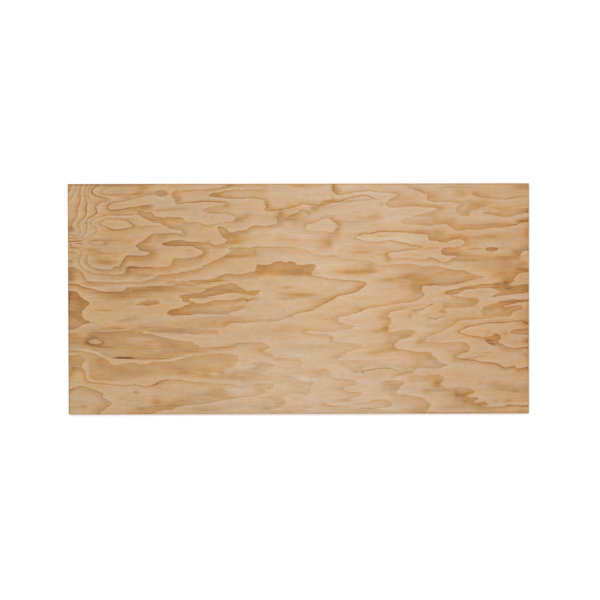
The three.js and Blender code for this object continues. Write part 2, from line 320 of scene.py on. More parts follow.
# By the near side, from 350 to 1300 mm.
ring((0.2, 0.25, 0.06, 0.1, 0.02), (70, 75, 40, 50, 20), (0.12, 0.1, 0.16, 0.14, 0.12), (350, -8), (400, 4),
     (440, 8), (470, 17), (500, 26), (530, 29), (550, 32), (565, 40), (590, 46), (610, 49), (640, 53),
     (680, 57), (720, 61), (750, 66), (780, 71), (800, 75), (825, 81), (860, 87), (885, 90), (910, 94),
     (940, 97), (965, 98), (1000, 103), (1025, 111), (1042, 121), (1034, 130), (1052, 137), (1080, 143),
     (1087, 151), (1070, 160), (1030, 162), (1000, 162), (985, 157), (960, 150), (920, 150), (895, 153),
     (850, 161), (800, 161), (770, 160))
ring(0, 10, 0.12, (1240, 118), (1214, 117), (1180, 112), (1160, 103), (1140, 100), (1110, 96), (1075, 92),
     (1040, 93), (1005, 98))
ring(0.2, 40, 0, (1040, 15), (1060, 22), (1080, 30), (1100, 36), (1120, 43), (1138, 52), (1145, 68),
     (1137, 84), (1142, 94))
ring((0.08, 0.12), (25, 20), (0.08, 0.02), (1136, 97), (1160, 107), (1180, 113), (1215, 116), (1240, 110),
     (1262, 106), (1274, 116), (1280, 132), (1286, 148), (1292, 160), (1298, 170), (1280, 173), (1240, 174),
     (1218, 176), (1208, 186), (1190, 196), (1160, 201), (1120, 200), (1060, 201), (1010, 203))
ring((0.08, 0.14), 60, 0.02, (1000, 204), (1012, 212), (1015, 222), (1035, 228), (1050, 238), (1062, 248),
     (1075, 256), (1087, 263), (1070, 271), (1040, 276), (1000, 277), (968, 275), (985, 266), (1000, 258),
     (985, 249), (955, 243), (940, 235), (920, 230), (880, 231), (865, 224), (850, 214), (825, 207))
# By the near side, from 1180 to 1760 mm.
ring((0.14, 0.13, 0.05), (40, 30, 50), 0.03, (1400, 76), (1450, 76), (1485, 82), (1505, 89), (1535, 95),
     (1556, 106), (1545, 113), (1530, 117), (1500, 118), (1478, 121), (1465, 128), (1455, 137), (1462, 145),
     (1482, 150), (1502, 153), (1522, 160), (1521, 172), (1505, 181), (1480, 187), (1450, 188), (1420, 191),
     (1400, 197), (1386, 204), (1386, 215), (1378, 227), (1368, 237), (1355, 244), (1300, 245), (1250, 248),
     (1180, 247))
ring(0.12, 55, 0, (1415, 262), (1450, 257), (1480, 243), (1500, 230), (1520, 222), (1550, 221))
ring(0.04, 30, 0.55, (1760, 232), (1740, 234), (1728, 237), (1712, 242), (1690, 245), (1660, 245),
     (1630, 242), (1600, 238), (1575, 234), (1558, 227), (1548, 220))
ring(0, 8, 0.3, (1352, 46), (1380, 42), (1420, 42), (1470, 44))
ring((0.12, 0.14), (25, 45), (0.15, 0.05), (1520, 30), (1580, 29), (1610, 31), (1640, 33), (1670, 36),
     (1695, 40), (1712, 54), (1702, 68), (1690, 77), (1650, 76), (1610, 74), (1592, 67), (1560, 65),
     (1530, 62), (1495, 54))
# From the near side at 1885 mm round a bay, and on over a brown body.
ring(0.22, (80, 60), 0.05, (1885, -10), (1890, 12), (1900, 24), (1910, 36), (1918, 48), (1913, 58),
     (1899, 66), (1893, 74), (1878, 81), (1860, 88), (1840, 94), (1815, 98), (1780, 102), (1750, 104),
     (1735, 109), (1729, 118), (1738, 127), (1750, 136), (1756, 148), (1768, 157), (1779, 165), (1772, 172),
     (1755, 176), (1730, 178), (1700, 177), (1680, 175), (1640, 175))
ring((0.12, 0.2, 0.2, 0.22, 0.26, 0.2, 0.2, 0.2), (35, 45, 45, 45, 45, 35, 40, 40),
     (0, 0.03, 0, 0.06, 0.12, 0.08, 0.25, 0.3), (1690, 195), (1720, 196), (1742, 202), (1758, 210),
     (1775, 218), (1800, 220), (1818, 222), (1832, 230), (1842, 240), (1855, 247), (1880, 246), (1920, 245),
     (1960, 245), (1985, 250), (2006, 259), (1985, 266), (1965, 272), (1950, 282), (1952, 292), (1935, 301),
     (1926, 310), (1924, 323), (1900, 329), (1850, 329), (1820, 332), (1800, 338), (1770, 341), (1745, 344),
     (1729, 352), (1722, 363), (1725, 375), (1736, 385), (1756, 395), (1783, 404), (1804, 411), (1816, 422),
     (1838, 439))
# From the right end, low down, to 1780 mm, and a short line over it.
ring((0.15, 0.2, 0.42, 0.3, 0.14, 0.22, 0.22), (20, 30, 60, 70, 50, 55, 55),
     (0.5, 0.25, 0.05, 0, 0, 0.03, 0.03), (2450, 46), (2425, 41), (2404, 41), (2380, 45), (2350, 46),
     (2325, 43), (2302, 39), (2270, 36), (2230, 37), (2205, 39), (2190, 38), (2180, 41), (2192, 45),
     (2208, 46), (2224, 50), (2214, 57), (2208, 65), (2195, 62), (2170, 58), (2155, 62), (2150, 70),
     (2160, 76), (2174, 80), (2168, 86), (2150, 88), (2125, 87), (2106, 92), (2102, 98), (2120, 103),
     (2143, 110), (2150, 121), (2140, 132), (2110, 139), (2070, 142), (2030, 141), (2005, 139), (1990, 145),
     (1972, 152), (1966, 160), (1975, 168), (1988, 180), (1990, 192), (1978, 202), (1960, 206), (1920, 206),
     (1870, 204), (1810, 206), (1780, 203))
ring(0, 8, 0.45, (2105, 297), (2150, 300), (2180, 304), (2220, 307))
# The brown tongues at the right end, from 240 to 512 mm up.
ring((0.35, 0.2, 0.15, 0.18, 0.18), (32, 28, 60, 32, 26), (0.2, 0.4, 0.08, 0.06, 0.12), (2450, 248),
     (2418, 246), (2395, 240), (2377, 240), (2364, 250), (2345, 249), (2325, 246), (2308, 246), (2297, 252),
     (2286, 260), (2268, 267), (2245, 271), (2215, 273), (2190, 277), (2165, 282), (2140, 287), (2105, 290),
     (2078, 293), (2052, 297), (2043, 304), (2055, 311), (2072, 315), (2090, 323), (2110, 328), (2127, 344),
     (2126, 359), (2112, 371), (2098, 379), (2070, 382), (2035, 381), (2000, 378), (1970, 376), (1945, 379),
     (1925, 381), (1902, 380), (1888, 386), (1888, 399), (1900, 410), (1928, 420), (1955, 430), (1980, 440),
     (1998, 451), (2018, 461), (2036, 469), (2048, 481), (2060, 493), (2078, 499), (2100, 502), (2140, 503),
     (2190, 506), (2240, 512))
ring((0.25, 0.32, 0.05, 0.1, 0.2), (42, 40, 20, 15, 40), (0.25, 0.15, 0.45, 0.4, 0.2), (2450, 353),
     (2400, 351), (2350, 350), (2325, 354), (2308, 361), (2291, 369), (2276, 379), (2279, 392), (2287, 404),
     (2284, 416), (2265, 424), (2249, 416), (2238, 408), (2200, 407), (2160, 411), (2130, 416), (2100, 423),
     (2078, 430), (2067, 436), (2074, 442), (2088, 450), (2108, 461), (2128, 466), (2152, 468), (2168, 473),
     (2200, 479), (2244, 483), (2284, 484), (2332, 486), (2368, 491), (2392, 493), (2410, 488), (2428, 478),
     (2450, 472))
ring(0.5, 60, 0.06, (2190, 405), (2204, 394), (2219, 382), (2237, 370), (2256, 363), (2290, 367))
ring(0.33, 38, 0.08, (2450, 452), (2400, 451), (2365, 446), (2342, 437), (2352, 427), (2380, 423),
     (2420, 422), (2450, 422))
# The right end, from 511 to 755 mm up, and lines to its left.
ring((0.42, 0.32, 0.24, 0.36), (28, 28, 25, 60), (0, 0.2, 0.05, 0.15), (2310, 702), (2285, 697), (2250, 690),
     (2200, 687), (2150, 681), (2110, 676), (2090, 670), (2060, 662), (2030, 657), (2005, 652), (1992, 645),
     (2002, 638), (2020, 632), (2040, 635), (2060, 640), (2080, 650), (2095, 660), (2110, 664), (2150, 665),
     (2180, 670), (2210, 671), (2240, 669), (2260, 664), (2280, 657), (2296, 651), (2288, 645), (2278, 638),
     (2262, 630), (2242, 622), (2265, 621), (2285, 628), (2320, 633), (2370, 638), (2410, 642), (2450, 648))
ring((0.35, 0.35, 0.32, 0.35), (45, 40, 45, 40), (0.05, 0, 0.1, 0.1), (2450, 689), (2400, 684), (2370, 677),
     (2345, 677), (2331, 685), (2345, 696), (2356, 707), (2364, 721), (2371, 734), (2382, 746), (2398, 752),
     (2420, 752), (2450, 755))
ring((0.17, 0.22), (70, 50), 0.04, (1960, 568), (2000, 566), (2050, 567), (2100, 566), (2125, 570),
     (2148, 577), (2168, 588), (2177, 601), (2168, 612), (2150, 615), (2120, 614), (2100, 617), (2075, 622),
     (2050, 625), (2010, 628))
ring((0.42, 0.4, 0.28, 0.14, 0.3, 0.25, 0.4, 0.35), (60, 60, 70, 70, 60, 40, 40, 35),
     (0, 0.05, 0, 0, 0.08, 0.15, 0.1, 0.35), (2450, 608), (2420, 605), (2400, 603), (2375, 604), (2350, 606),
     (2325, 603), (2300, 598), (2285, 592), (2266, 585), (2240, 579), (2215, 572), (2197, 563), (2188, 550),
     (2188, 536), (2196, 522), (2212, 511), (2240, 511), (2268, 519), (2290, 520), (2320, 519), (2345, 522),
     (2353, 532), (2347, 540), (2362, 545), (2380, 550), (2397, 555), (2405, 564), (2403, 573), (2390, 577),
     (2370, 573), (2350, 571), (2330, 566), (2310, 564), (2302, 571), (2325, 577), (2350, 585), (2380, 593),
     (2405, 597), (2450, 599))
ring(0, 9, 0.5, (1890, 490), (1905, 497), (1918, 507), (1930, 507), (1940, 502), (1952, 505), (1968, 511),
     (1984, 519), (1998, 527))
ring(0.02, 10, 0.55, (1795, 548), (1830, 550), (1857, 552), (1872, 555), (1885, 562), (1900, 570),
     (1915, 577), (1945, 588))
ring(0, 8, 0.5, (2003, 640), (2018, 629), (2040, 625), (2062, 631), (2085, 644))

# The stains, in thirds from the far side, by where their middles lie.
# The far third, left end to 488 mm.
stain(0.35, 14, 4, (10, 976))
stain(0.35, 8, 7, (12, 815))
stain(0.3, 6, 16, (12, 905))
stain(0.45, 16, 16, (12, 988))
stain(0.35, 14, 4, (16, 814))
stain(0.25, 16, 4, (3, 858), (30, 858))
stain(0.15, 22, 20, (22, 835))
stain(0.3, 10, 5, (26, 975))
stain(0.3, 30, 5, (30, 886), (52, 886))
stain(-0.12, 10, 30, (97, 1040))
stain(0.2, 18, 4, (112, 880), (135, 875))
stain(-0.08, 20, 5, (108, 1030), (125, 1042), (150, 1052))
stain(0.2, 14, 5, (128, 848))
stain(0.22, 30, 5, (115, 875), (160, 870))
stain(0.08, 40, 8, (130, 872), (170, 862), (195, 856))
stain(-0.1, 30, 12, (175, 992))
stain(0.3, 22, 4, (165, 858), (200, 857))
stain(-0.12, 26, 6, (185, 867))
stain(0.35, 50, 4.5, (155, 923), (220, 924))
stain(0.15, 18, 8, (200, 1139))
stain(0.25, 20, 10, (205, 912))
# Painted shade along the far edge, like the darker border of the face.
stain(0.3, 45, 6, (30, 1218), (400, 1218))
stain(0.15, 14, 4, (235, 857), (255, 855))
stain(-0.15, 110, 8, (140, 1059), (375, 1065))
stain(0.07, 120, 45, (220, 935), (300, 900))
stain(0.18, 80, 5, (205, 1063), (330, 1064))
stain(0.1, 60, 8, (270, 1112))
stain(0.12, 70, 12, (270, 1184))
stain(-0.12, 60, 9, (280, 1145))
stain(0.2, 30, 5, (250, 977), (320, 984))
stain(0.12, 40, 9, (215, 1214), (365, 1214))
stain(0.2, 30, 6, (300, 1034), (340, 1036))
stain(0.25, 30, 5, (322, 1150))
stain(0.15, 14, 10, (328, 918))
stain(0.25, 12, 6, (318, 1022), (345, 1005))
stain(0.22, 22, 22, (375, 1178))
stain(0.25, 30, 5, (350, 996), (400, 995), (440, 996))
stain(0.32, 24, 8, (405, 1199))
stain(0.2, 30, 6, (390, 1090), (425, 1098))
stain(0.15, 40, 10, (415, 1171))
stain(0.2, 14, 12, (420, 935))
stain(-0.15, 35, 16, (445, 884))
stain(0.25, 16, 6, (480, 921))
# The far third, 488 to 976 mm.
stain(0.12, 50, 9, (500, 878))
stain(0.2, 22, 18, (505, 943))
stain(0.3, 12, 3, (512, 903), (525, 903))
stain(0.25, 40, 10, (490, 1085), (560, 1090), (600, 1092))
stain(0.24, 36, 9, (560, 907), (615, 906))
stain(0.12, 30, 20, (590, 1165))
stain(-0.18, 16, 12, (622, 908))
stain(0.2, 18, 8, (638, 873))
stain(-0.08, 60, 10, (660, 1048), (720, 1050))
stain(-0.1, 40, 8, (690, 1182))
stain(-0.08, 60, 12, (655, 1148), (735, 1148))
stain(0.25, 12, 8, (700, 842))
stain(0.35, 10, 8, (745, 922))
stain(0.3, 22, 8, (765, 1160), (795, 1160))
stain(0.12, 70, 6, (750, 1111), (890, 1112))
stain(0.3, 16, 8, (842, 1113))
stain(-0.12, 90, 6, (800, 874), (940, 876))
# Painted shade on the far edge, like the darker border of the face.
stain(0.25, 30, 6, (870, 1218))
stain(0.3, 34, 13, (850, 945), (890, 935), (890, 910))
stain(0.3, 32, 4, (850, 1213), (912, 1213))
stain(-0.1, 35, 12, (900, 1178))
stain(0.3, 60, 8, (870, 838), (960, 842))
stain(0.35, 26, 12, (905, 1030), (948, 1052))
stain(0.2, 30, 8, (945, 930))
stain(0.2, 60, 4, (880, 1208), (960, 1206), (1040, 1204))
# The far third, 976 to 1464 mm.
stain(0.2, 10, 20, (990, 865))
stain(0.1, 40, 12, (1005, 1158))
stain(0.3, 22, 4, (997, 1215), (1036, 1215))
stain(0.12, 40, 12, (1020, 1048))
stain(0.2, 35, 14, (1020, 1185))
stain(-0.12, 60, 10, (1000, 980), (1070, 980))
stain(0.12, 26, 10, (1040, 1045))
stain(0.3, 14, 24, (1055, 1115))
stain(-0.12, 35, 14, (1060, 927))
stain(0.22, 18, 10, (1075, 1092))
stain(0.12, 35, 10, (1090, 1076))
stain(-0.1, 40, 12, (1090, 1162))
stain(0.2, 90, 3, (1020, 890), (1200, 889))
stain(-0.1, 90, 12, (1050, 973), (1190, 958))
stain(0.22, 18, 12, (1122, 1072))
stain(0.25, 14, 18, (1125, 1068))
stain(0.2, 12, 14, (1132, 1010))
stain(0.3, 45, 12, (1120, 1055), (1190, 1058))
stain(0.3, 55, 15, (1130, 1035), (1190, 1033))
stain(0.12, 50, 5, (1120, 929), (1210, 923))
stain(0.25, 35, 7, (1165, 1083), (1215, 1092))
stain(0.15, 30, 9, (1200, 1014))
stain(0.25, 30, 5, (1205, 1212), (1255, 1212))
stain(-0.15, 40, 16, (1245, 943))
stain(0.12, 40, 25, (1245, 1025))
stain(0.3, 8, 20, (1277, 1060))
stain(0.2, 35, 6, (1225, 1211), (1330, 1211))
stain(0.2, 12, 12, (1296, 1084))
stain(0.25, 22, 18, (1310, 1088))
stain(0.3, 32, 6, (1308, 1097), (1345, 1103))
stain(0.12, 40, 16, (1345, 925))
stain(0.2, 30, 18, (1385, 938), (1350, 897), (1345, 890))
stain(0.12, 30, 5, (1372, 999))
stain(0.14, 50, 9, (1330, 1086), (1415, 1104))
stain(0.22, 28, 6, (1350, 1132), (1398, 1137))
stain(0.3, 22, 22, (1385, 905))
stain(0.2, 30, 8, (1390, 1132))
stain(0.25, 20, 5, (1400, 841))
stain(0.35, 10, 20, (1400, 1205))
stain(0.2, 7, 12, (1401, 1150))
stain(0.2, 14, 7, (1403, 1050))
stain(-0.12, 16, 14, (1415, 888))
stain(0.3, 16, 26, (1415, 1195))
stain(0.2, 12, 30, (1425, 1000))
stain(0.25, 20, 12, (1428, 1182))
stain(0.15, 16, 30, (1425, 960), (1435, 1000))
stain(-0.12, 30, 8, (1450, 1163))
# The far third, 1464 to 1952 mm.
stain(0.35, 35, 6, (1445, 1124), (1488, 1132))
stain(0.1, 40, 9, (1480, 998))
stain(0.2, 50, 10, (1450, 1018), (1530, 1020))
stain(-0.1, 60, 12, (1500, 1200))
stain(0.2, 18, 5, (1515, 1070))
stain(0.15, 50, 4, (1480, 839), (1580, 833))
stain(0.25, 32, 7, (1530, 856), (1580, 856))
stain(0.2, 16, 4, (1535, 864), (1585, 860))
stain(0.12, 60, 12, (1560, 955))
stain(0.25, 35, 5, (1525, 1133), (1600, 1141))
stain(0.18, 40, 9, (1565, 1038), (1640, 1040))
stain(0.12, 25, 9, (1605, 1028))
stain(0.12, 70, 14, (1560, 880), (1660, 878))
stain(-0.2, 14, 6, (1614, 1146))
stain(0.22, 32, 8, (1628, 1050))
stain(0.2, 30, 7, (1635, 963))
stain(0.1, 22, 6, (1640, 850))
stain(0.2, 26, 8, (1652, 845))
stain(0.25, 30, 3, (1655, 944))
stain(0.6, 4, 9, (1658, 1112))
stain(0.2, 40, 4, (1640, 945), (1690, 946))
stain(0.35, 12, 22, (1683, 845), (1698, 822))
stain(-0.12, 28, 18, (1700, 905))
stain(-0.1, 70, 10, (1600, 935), (1700, 940), (1800, 928))
stain(-0.1, 70, 25, (1700, 1030))
stain(0.2, 50, 4, (1740, 823), (1800, 827))
stain(-0.08, 90, 22, (1740, 1030), (1800, 1030))
stain(0.12, 40, 14, (1780, 1145))
stain(-0.08, 60, 12, (1730, 842), (1840, 850))
stain(0.12, 60, 9, (1790, 1133))
stain(-0.15, 40, 7, (1820, 981))
stain(-0.15, 100, 4, (1740, 1101), (1900, 1099))
stain(0.2, 35, 5, (1800, 847), (1860, 845))
stain(0.3, 20, 3, (1845, 875))
stain(0.32, 20, 4, (1845, 896))
stain(0.15, 20, 8, (1850, 1184), (1870, 1178))
stain(0.34, 35, 6, (1862, 969))
stain(0.45, 7, 8, (1865, 886))
stain(0.3, 5, 8, (1866, 884))
stain(0.2, 16, 3, (1882, 877), (1904, 877))
stain(0.3, 20, 3.5, (1912, 881), (1948, 882))
stain(0.2, 22, 16, (1930, 1155))
stain(0.15, 14, 14, (1932, 1038))
stain(0.2, 45, 10, (1935, 1050))
stain(-0.12, 60, 7, (1950, 1210))
# The far third, 1952 mm to right end.
stain(0.2, 30, 6, (1925, 1104), (1980, 1104))
stain(0.34, 36, 20, (1955, 961))
stain(0.12, 45, 14, (1965, 1158))
stain(0.12, 36, 12, (1985, 860), (2040, 855))
stain(-0.12, 22, 22, (2015, 1166))
stain(0.14, 26, 6, (2030, 1029))
stain(0.25, 45, 4.5, (2015, 1203), (2110, 1202))
stain(-0.2, 14, 16, (2063, 830))
stain(0.24, 34, 20, (2082, 1174))
stain(-0.2, 35, 11, (2085, 878))
stain(-0.15, 40, 6, (2085, 1140))
stain(0.22, 16, 7, (2089, 1110))
stain(-0.12, 25, 20, (2098, 895))
stain(-0.2, 14, 10, (2106, 1192))
stain(0.15, 18, 16, (2110, 832))
stain(0.18, 36, 9, (2085, 843), (2140, 836))
stain(0.15, 14, 7, (2113, 1062))
stain(0.35, 36, 8, (2088, 817), (2140, 813))
stain(0.12, 60, 8, (2120, 1126))
stain(-0.15, 30, 8, (2122, 1157))
stain(0.12, 70, 7, (2130, 979))
stain(-0.07, 120, 50, (2140, 1070))
stain(-0.15, 40, 8, (2155, 852))
stain(0.4, 22, 4, (2140, 875), (2170, 877))
stain(0.2, 25, 9, (2155, 1114))
stain(0.2, 25, 10, (2160, 1172))
stain(0.28, 45, 7, (2165, 933), (2230, 946))
stain(0.14, 40, 9, (2180, 822), (2225, 822))
stain(0.18, 80, 7, (2150, 1002), (2290, 1006))
stain(0.2, 35, 4, (2215, 1096), (2250, 1095))
stain(-0.12, 40, 6, (2238, 1078))
stain(0.25, 20, 7, (2245, 938))
stain(-0.1, 70, 12, (2260, 1212))
stain(-0.12, 70, 11, (2200, 1037), (2330, 1034))
stain(-0.08, 100, 14, (2280, 1140))
stain(0.1, 40, 14, (2290, 935))
stain(0.18, 26, 6, (2295, 1073), (2320, 1080))
stain(0.32, 38, 14, (2300, 828), (2350, 828))
stain(-0.12, 24, 9, (2358, 1022))
stain(-0.15, 35, 8, (2360, 1014))
stain(-0.1, 40, 20, (2362, 905))
stain(0.35, 20, 18, (2367, 862))
stain(0.2, 40, 4, (2360, 1087), (2437, 1087))
stain(0.35, 25, 9, (2385, 1023), (2437, 1032))
stain(0.3, 35, 12, (2400, 1204), (2437, 1202))
stain(0.3, 18, 45, (2432, 960))
stain(0.35, 25, 12, (2432, 1080))
# The middle third, left end to 488 mm.
# Painted shade along the left end, like the darker border of the face.
stain(0.25, 6, 30, (2, 560), (2, 610))
stain(0.08, 12, 40, (10, 640))
stain(0.3, 22, 12, (14, 718))
stain(0.2, 20, 20, (15, 788))
stain(0.45, 28, 28, (18, 740))
stain(0.25, 24, 14, (20, 535))
stain(0.3, 40, 18, (25, 425))
stain(-0.08, 30, 8, (50, 487))
stain(0.15, 25, 9, (92, 405), (125, 413))
stain(0.25, 22, 4, (125, 490))
stain(0.3, 70, 10, (150, 447), (230, 458))
stain(0.25, 28, 6, (165, 556), (215, 555))
stain(0.35, 45, 14, (180, 812), (215, 808))
stain(0.12, 100, 6, (200, 690))
stain(0.12, 40, 16, (200, 808))
stain(-0.08, 70, 10, (210, 730))
stain(-0.2, 30, 10, (298, 655))
stain(-0.08, 50, 4, (215, 445), (300, 448), (385, 452))
stain(0.35, 22, 6, (290, 501), (325, 503))
stain(0.45, 14, 18, (318, 765))
stain(0.15, 80, 9, (250, 615), (390, 630))
stain(0.1, 110, 28, (280, 625), (400, 635))
stain(0.25, 22, 8, (325, 512), (360, 512))
stain(0.18, 25, 11, (345, 758))
stain(0.3, 24, 9, (346, 782))
stain(0.3, 50, 9, (340, 742), (400, 738))
stain(0.12, 60, 11, (380, 647))
stain(-0.2, 40, 10, (380, 675))
stain(0.26, 20, 4.5, (322, 782), (440, 780))
stain(0.3, 40, 6, (420, 590), (450, 592))
stain(0.22, 120, 13, (330, 655), (450, 660), (560, 660))
stain(0.12, 50, 14, (480, 660))
stain(-0.1, 60, 14, (480, 755))
# The middle third, 488 to 976 mm.
stain(0.2, 60, 5, (470, 451), (560, 450))
stain(0.18, 34, 12, (552, 543))
stain(-0.15, 35, 8, (605, 540))
stain(0.12, 40, 8, (620, 786))
stain(0.15, 16, 10, (652, 572))
stain(-0.1, 60, 9, (660, 438))
stain(0.12, 110, 22, (640, 480), (760, 480))
stain(0.25, 50, 5, (680, 692), (740, 697))
stain(-0.3, 35, 4, (720, 455), (770, 456))
stain(0.2, 22, 6, (800, 732))
stain(-0.1, 50, 8, (820, 597))
stain(0.25, 25, 5, (800, 708), (840, 712))
stain(0.18, 70, 11, (800, 511), (870, 513))
stain(0.3, 45, 12, (800, 662), (880, 668))
stain(0.15, 22, 5, (850, 789), (875, 793))
stain(-0.12, 25, 7, (880, 738))
stain(0.12, 60, 5, (800, 492), (900, 491), (1030, 494))
stain(0.25, 30, 7, (905, 607), (935, 612))
stain(0.12, 20, 8, (925, 573))
stain(0.15, 60, 12, (950, 620))
stain(-0.18, 35, 12, (965, 750))
# The middle third, 976 to 1464 mm.
stain(0.2, 20, 9, (985, 618))
stain(0.22, 16, 15, (1024, 747))
stain(0.15, 14, 9, (1028, 770))
stain(0.1, 80, 24, (1060, 442))
stain(0.15, 18, 9, (1130, 760))
stain(0.1, 50, 6, (1140, 552))
stain(0.18, 100, 11, (1050, 754), (1230, 754))
stain(0.22, 120, 20, (1080, 764), (1220, 760))
stain(0.18, 60, 24, (1160, 452))
stain(0.15, 30, 8, (1160, 674))
stain(0.12, 28, 6, (1150, 672), (1185, 676))
stain(0.25, 60, 7, (1150, 615), (1215, 622))
stain(0.2, 40, 6, (1185, 726))
stain(0.35, 55, 8, (1150, 742), (1230, 742))
stain(0.2, 40, 10, (1145, 640), (1190, 637), (1260, 634))
stain(0.15, 14, 8, (1250, 463))
stain(0.4, 14, 7, (1252, 444))
stain(0.3, 60, 7, (1230, 635), (1290, 632))
stain(0.2, 35, 11, (1285, 780))
stain(0.12, 26, 6, (1290, 528), (1340, 522))
stain(0.12, 40, 8, (1335, 572))
stain(-0.15, 50, 20, (1340, 768))
stain(0.22, 40, 14, (1320, 605), (1380, 615))
stain(-0.08, 80, 18, (1350, 786))
stain(0.2, 35, 9, (1370, 507))
stain(0.15, 12, 20, (1405, 502))
stain(0.12, 24, 8, (1430, 457))
# The middle third, 1464 to 1952 mm.
stain(-0.06, 40, 12, (1475, 588))
stain(0.12, 45, 5, (1500, 484))
stain(0.15, 25, 10, (1510, 665))
stain(0.12, 25, 6, (1522, 568))
stain(0.15, 40, 12, (1525, 560))
stain(-0.12, 35, 7, (1525, 713))
stain(0.2, 70, 12, (1490, 748), (1570, 753))
stain(0.12, 40, 18, (1535, 786))
stain(0.25, 28, 14, (1545, 675))
stain(0.34, 60, 12, (1490, 758), (1600, 762))
stain(-0.08, 60, 12, (1550, 455))
stain(0.2, 35, 16, (1590, 785))
stain(0.12, 20, 22, (1602, 786))
stain(-0.14, 20, 15, (1646, 757))
stain(0.33, 24, 10, (1632, 439), (1658, 446), (1682, 458))
stain(0.25, 18, 26, (1660, 510))
stain(0.2, 8, 12, (1690, 501))
stain(0.2, 26, 3.5, (1670, 712), (1710, 713))
stain(-0.12, 60, 16, (1690, 762))
stain(0.15, 30, 3, (1650, 703), (1740, 702))
stain(-0.08, 60, 16, (1700, 636))
stain(-0.06, 60, 12, (1750, 614))
stain(0.22, 60, 12, (1700, 713), (1750, 728), (1825, 737))
stain(0.18, 35, 9, (1765, 414))
stain(0.15, 50, 13, (1770, 683))
stain(0.3, 25, 4, (1775, 698))
stain(0.3, 25, 4, (1788, 564))
stain(0.1, 50, 16, (1790, 670))
stain(0.3, 42, 12, (1790, 722))
stain(-0.1, 40, 6, (1800, 711))
stain(0.2, 45, 6, (1800, 744))
stain(0.4, 6, 8, (1804, 528), (1811, 518))
stain(-0.15, 12, 9, (1822, 425))
stain(0.2, 14, 5, (1815, 422), (1830, 437))
stain(0.25, 16, 6, (1832, 541))
stain(0.2, 28, 30, (1835, 668))
stain(0.22, 28, 8, (1838, 543))
stain(0.12, 35, 4, (1830, 577), (1870, 582))
stain(0.2, 50, 22, (1840, 712), (1890, 716))
stain(0.3, 9, 11, (1866, 668))
stain(-0.1, 70, 20, (1880, 445))
stain(0.25, 5, 8, (1882, 630))
stain(0.3, 8, 4, (1918, 581), (1926, 584))
stain(0.25, 40, 6, (1925, 685))
stain(-0.08, 50, 18, (1935, 621))
stain(0.08, 50, 14, (1940, 470))
# The middle third, 1952 mm to right end.
stain(0.12, 45, 5, (1925, 689), (1980, 688))
stain(0.1, 60, 14, (1970, 737))
stain(0.3, 8, 3, (1984, 518))
stain(0.45, 12, 7, (1978, 548), (1990, 541))
stain(0.15, 40, 10, (1985, 640))
stain(-0.18, 45, 18, (1985, 782))
stain(0.4, 8, 6, (1990, 563))
stain(-0.12, 60, 9, (1990, 807))
stain(0.06, 70, 16, (1980, 480), (2020, 490))
stain(0.2, 42, 11, (2030, 645))
stain(0.22, 15, 11, (2068, 440))
stain(0.15, 40, 5, (2060, 695), (2110, 705))
stain(0.2, 40, 5, (2080, 661), (2120, 668))
stain(0.22, 28, 16, (2143, 596))
stain(-0.15, 25, 6, (2185, 724))
stain(0.1, 50, 12, (2190, 647))
stain(0.15, 60, 26, (2220, 790))
stain(-0.12, 14, 16, (2235, 408))
stain(0.2, 30, 12, (2265, 675))
stain(0.26, 18, 11, (2268, 412))
stain(0.22, 36, 10, (2288, 684))
stain(0.28, 20, 24, (2304, 692))
stain(0.22, 40, 26, (2290, 745), (2330, 785))
stain(0.25, 12, 12, (2318, 428))
stain(0.3, 14, 8, (2318, 699))
stain(0.28, 26, 9, (2324, 662))
stain(0.2, 22, 22, (2325, 722))
stain(0.14, 70, 22, (2350, 672))
stain(0.15, 40, 8, (2320, 592), (2400, 598))
stain(-0.3, 22, 3, (2375, 807))
stain(0.15, 16, 25, (2382, 810))
stain(0.32, 30, 9, (2392, 773))
stain(0.25, 22, 7, (2398, 486))
stain(0.3, 24, 9, (2415, 795))
stain(-0.25, 18, 3, (2420, 780))
stain(0.08, 30, 30, (2425, 100), (2425, 780))
stain(0.35, 25, 20, (2425, 480))
stain(0.2, 25, 12, (2425, 665))
stain(0.2, 25, 10, (2425, 765))
stain(0.15, 16, 45, (2435, 545))
# The near third, left end to 488 mm.
stain(0.1, 18, 18, (4, 30), (4, 760))
stain(-0.3, 12, 9, (6, 250))
stain(0.2, 15, 14, (13, 218))
stain(0.2, 18, 14, (20, 235))
stain(0.28, 24, 24, (22, 258))
stain(0.3, 25, 9, (22, 337))
stain(0.3, 22, 7, (18, 250), (50, 244))
stain(0.15, 45, 9, (40, 385))
stain(0.3, 60, 28, (40, 385))
stain(0.15, 28, 22, (48, 283))
stain(0.22, 22, 5, (35, 40), (75, 45))
stain(0.25, 12, 6, (80, 43))
stain(-0.12, 25, 20, (85, 262))
stain(0.25, 12, 20, (92, 388))
stain(-0.15, 35, 10, (95, 312))
stain(-0.12, 35, 14, (120, 213))
stain(0.1, 20, 15, (155, 15))
stain(-0.12, 35, 14, (155, 374))
stain(0.2, 34, 7, (100, 376), (165, 366), (205, 358))
stain(0.15, 22, 30, (165, 275))
stain(0.1, 30, 12, (180, 251))
stain(0.08, 24, 12, (200, 60))
stain(-0.25, 22, 3, (203, 212))
stain(0.12, 70, 6, (150, 190), (280, 188))
stain(0.1, 120, 16, (240, 362))
stain(-0.1, 18, 16, (248, 244))
stain(-0.08, 80, 40, (250, 120))
stain(0.08, 35, 8, (270, 281))
stain(0.06, 40, 12, (290, 103))
stain(0.12, 40, 7, (295, 300))
stain(0.1, 100, 22, (240, 354), (370, 350))
stain(0.14, 90, 14, (200, 205), (330, 208), (430, 215))
stain(0.12, 110, 20, (200, 215), (320, 230), (480, 230))
stain(-0.15, 80, 8, (280, 411), (400, 400))
stain(0.5, 16, 6, (358, 121))
stain(0.35, 28, 11, (383, 33))
stain(-0.06, 60, 14, (400, 133))
stain(0.12, 110, 26, (260, 370), (420, 360), (540, 350))
stain(-0.08, 35, 30, (415, 130))
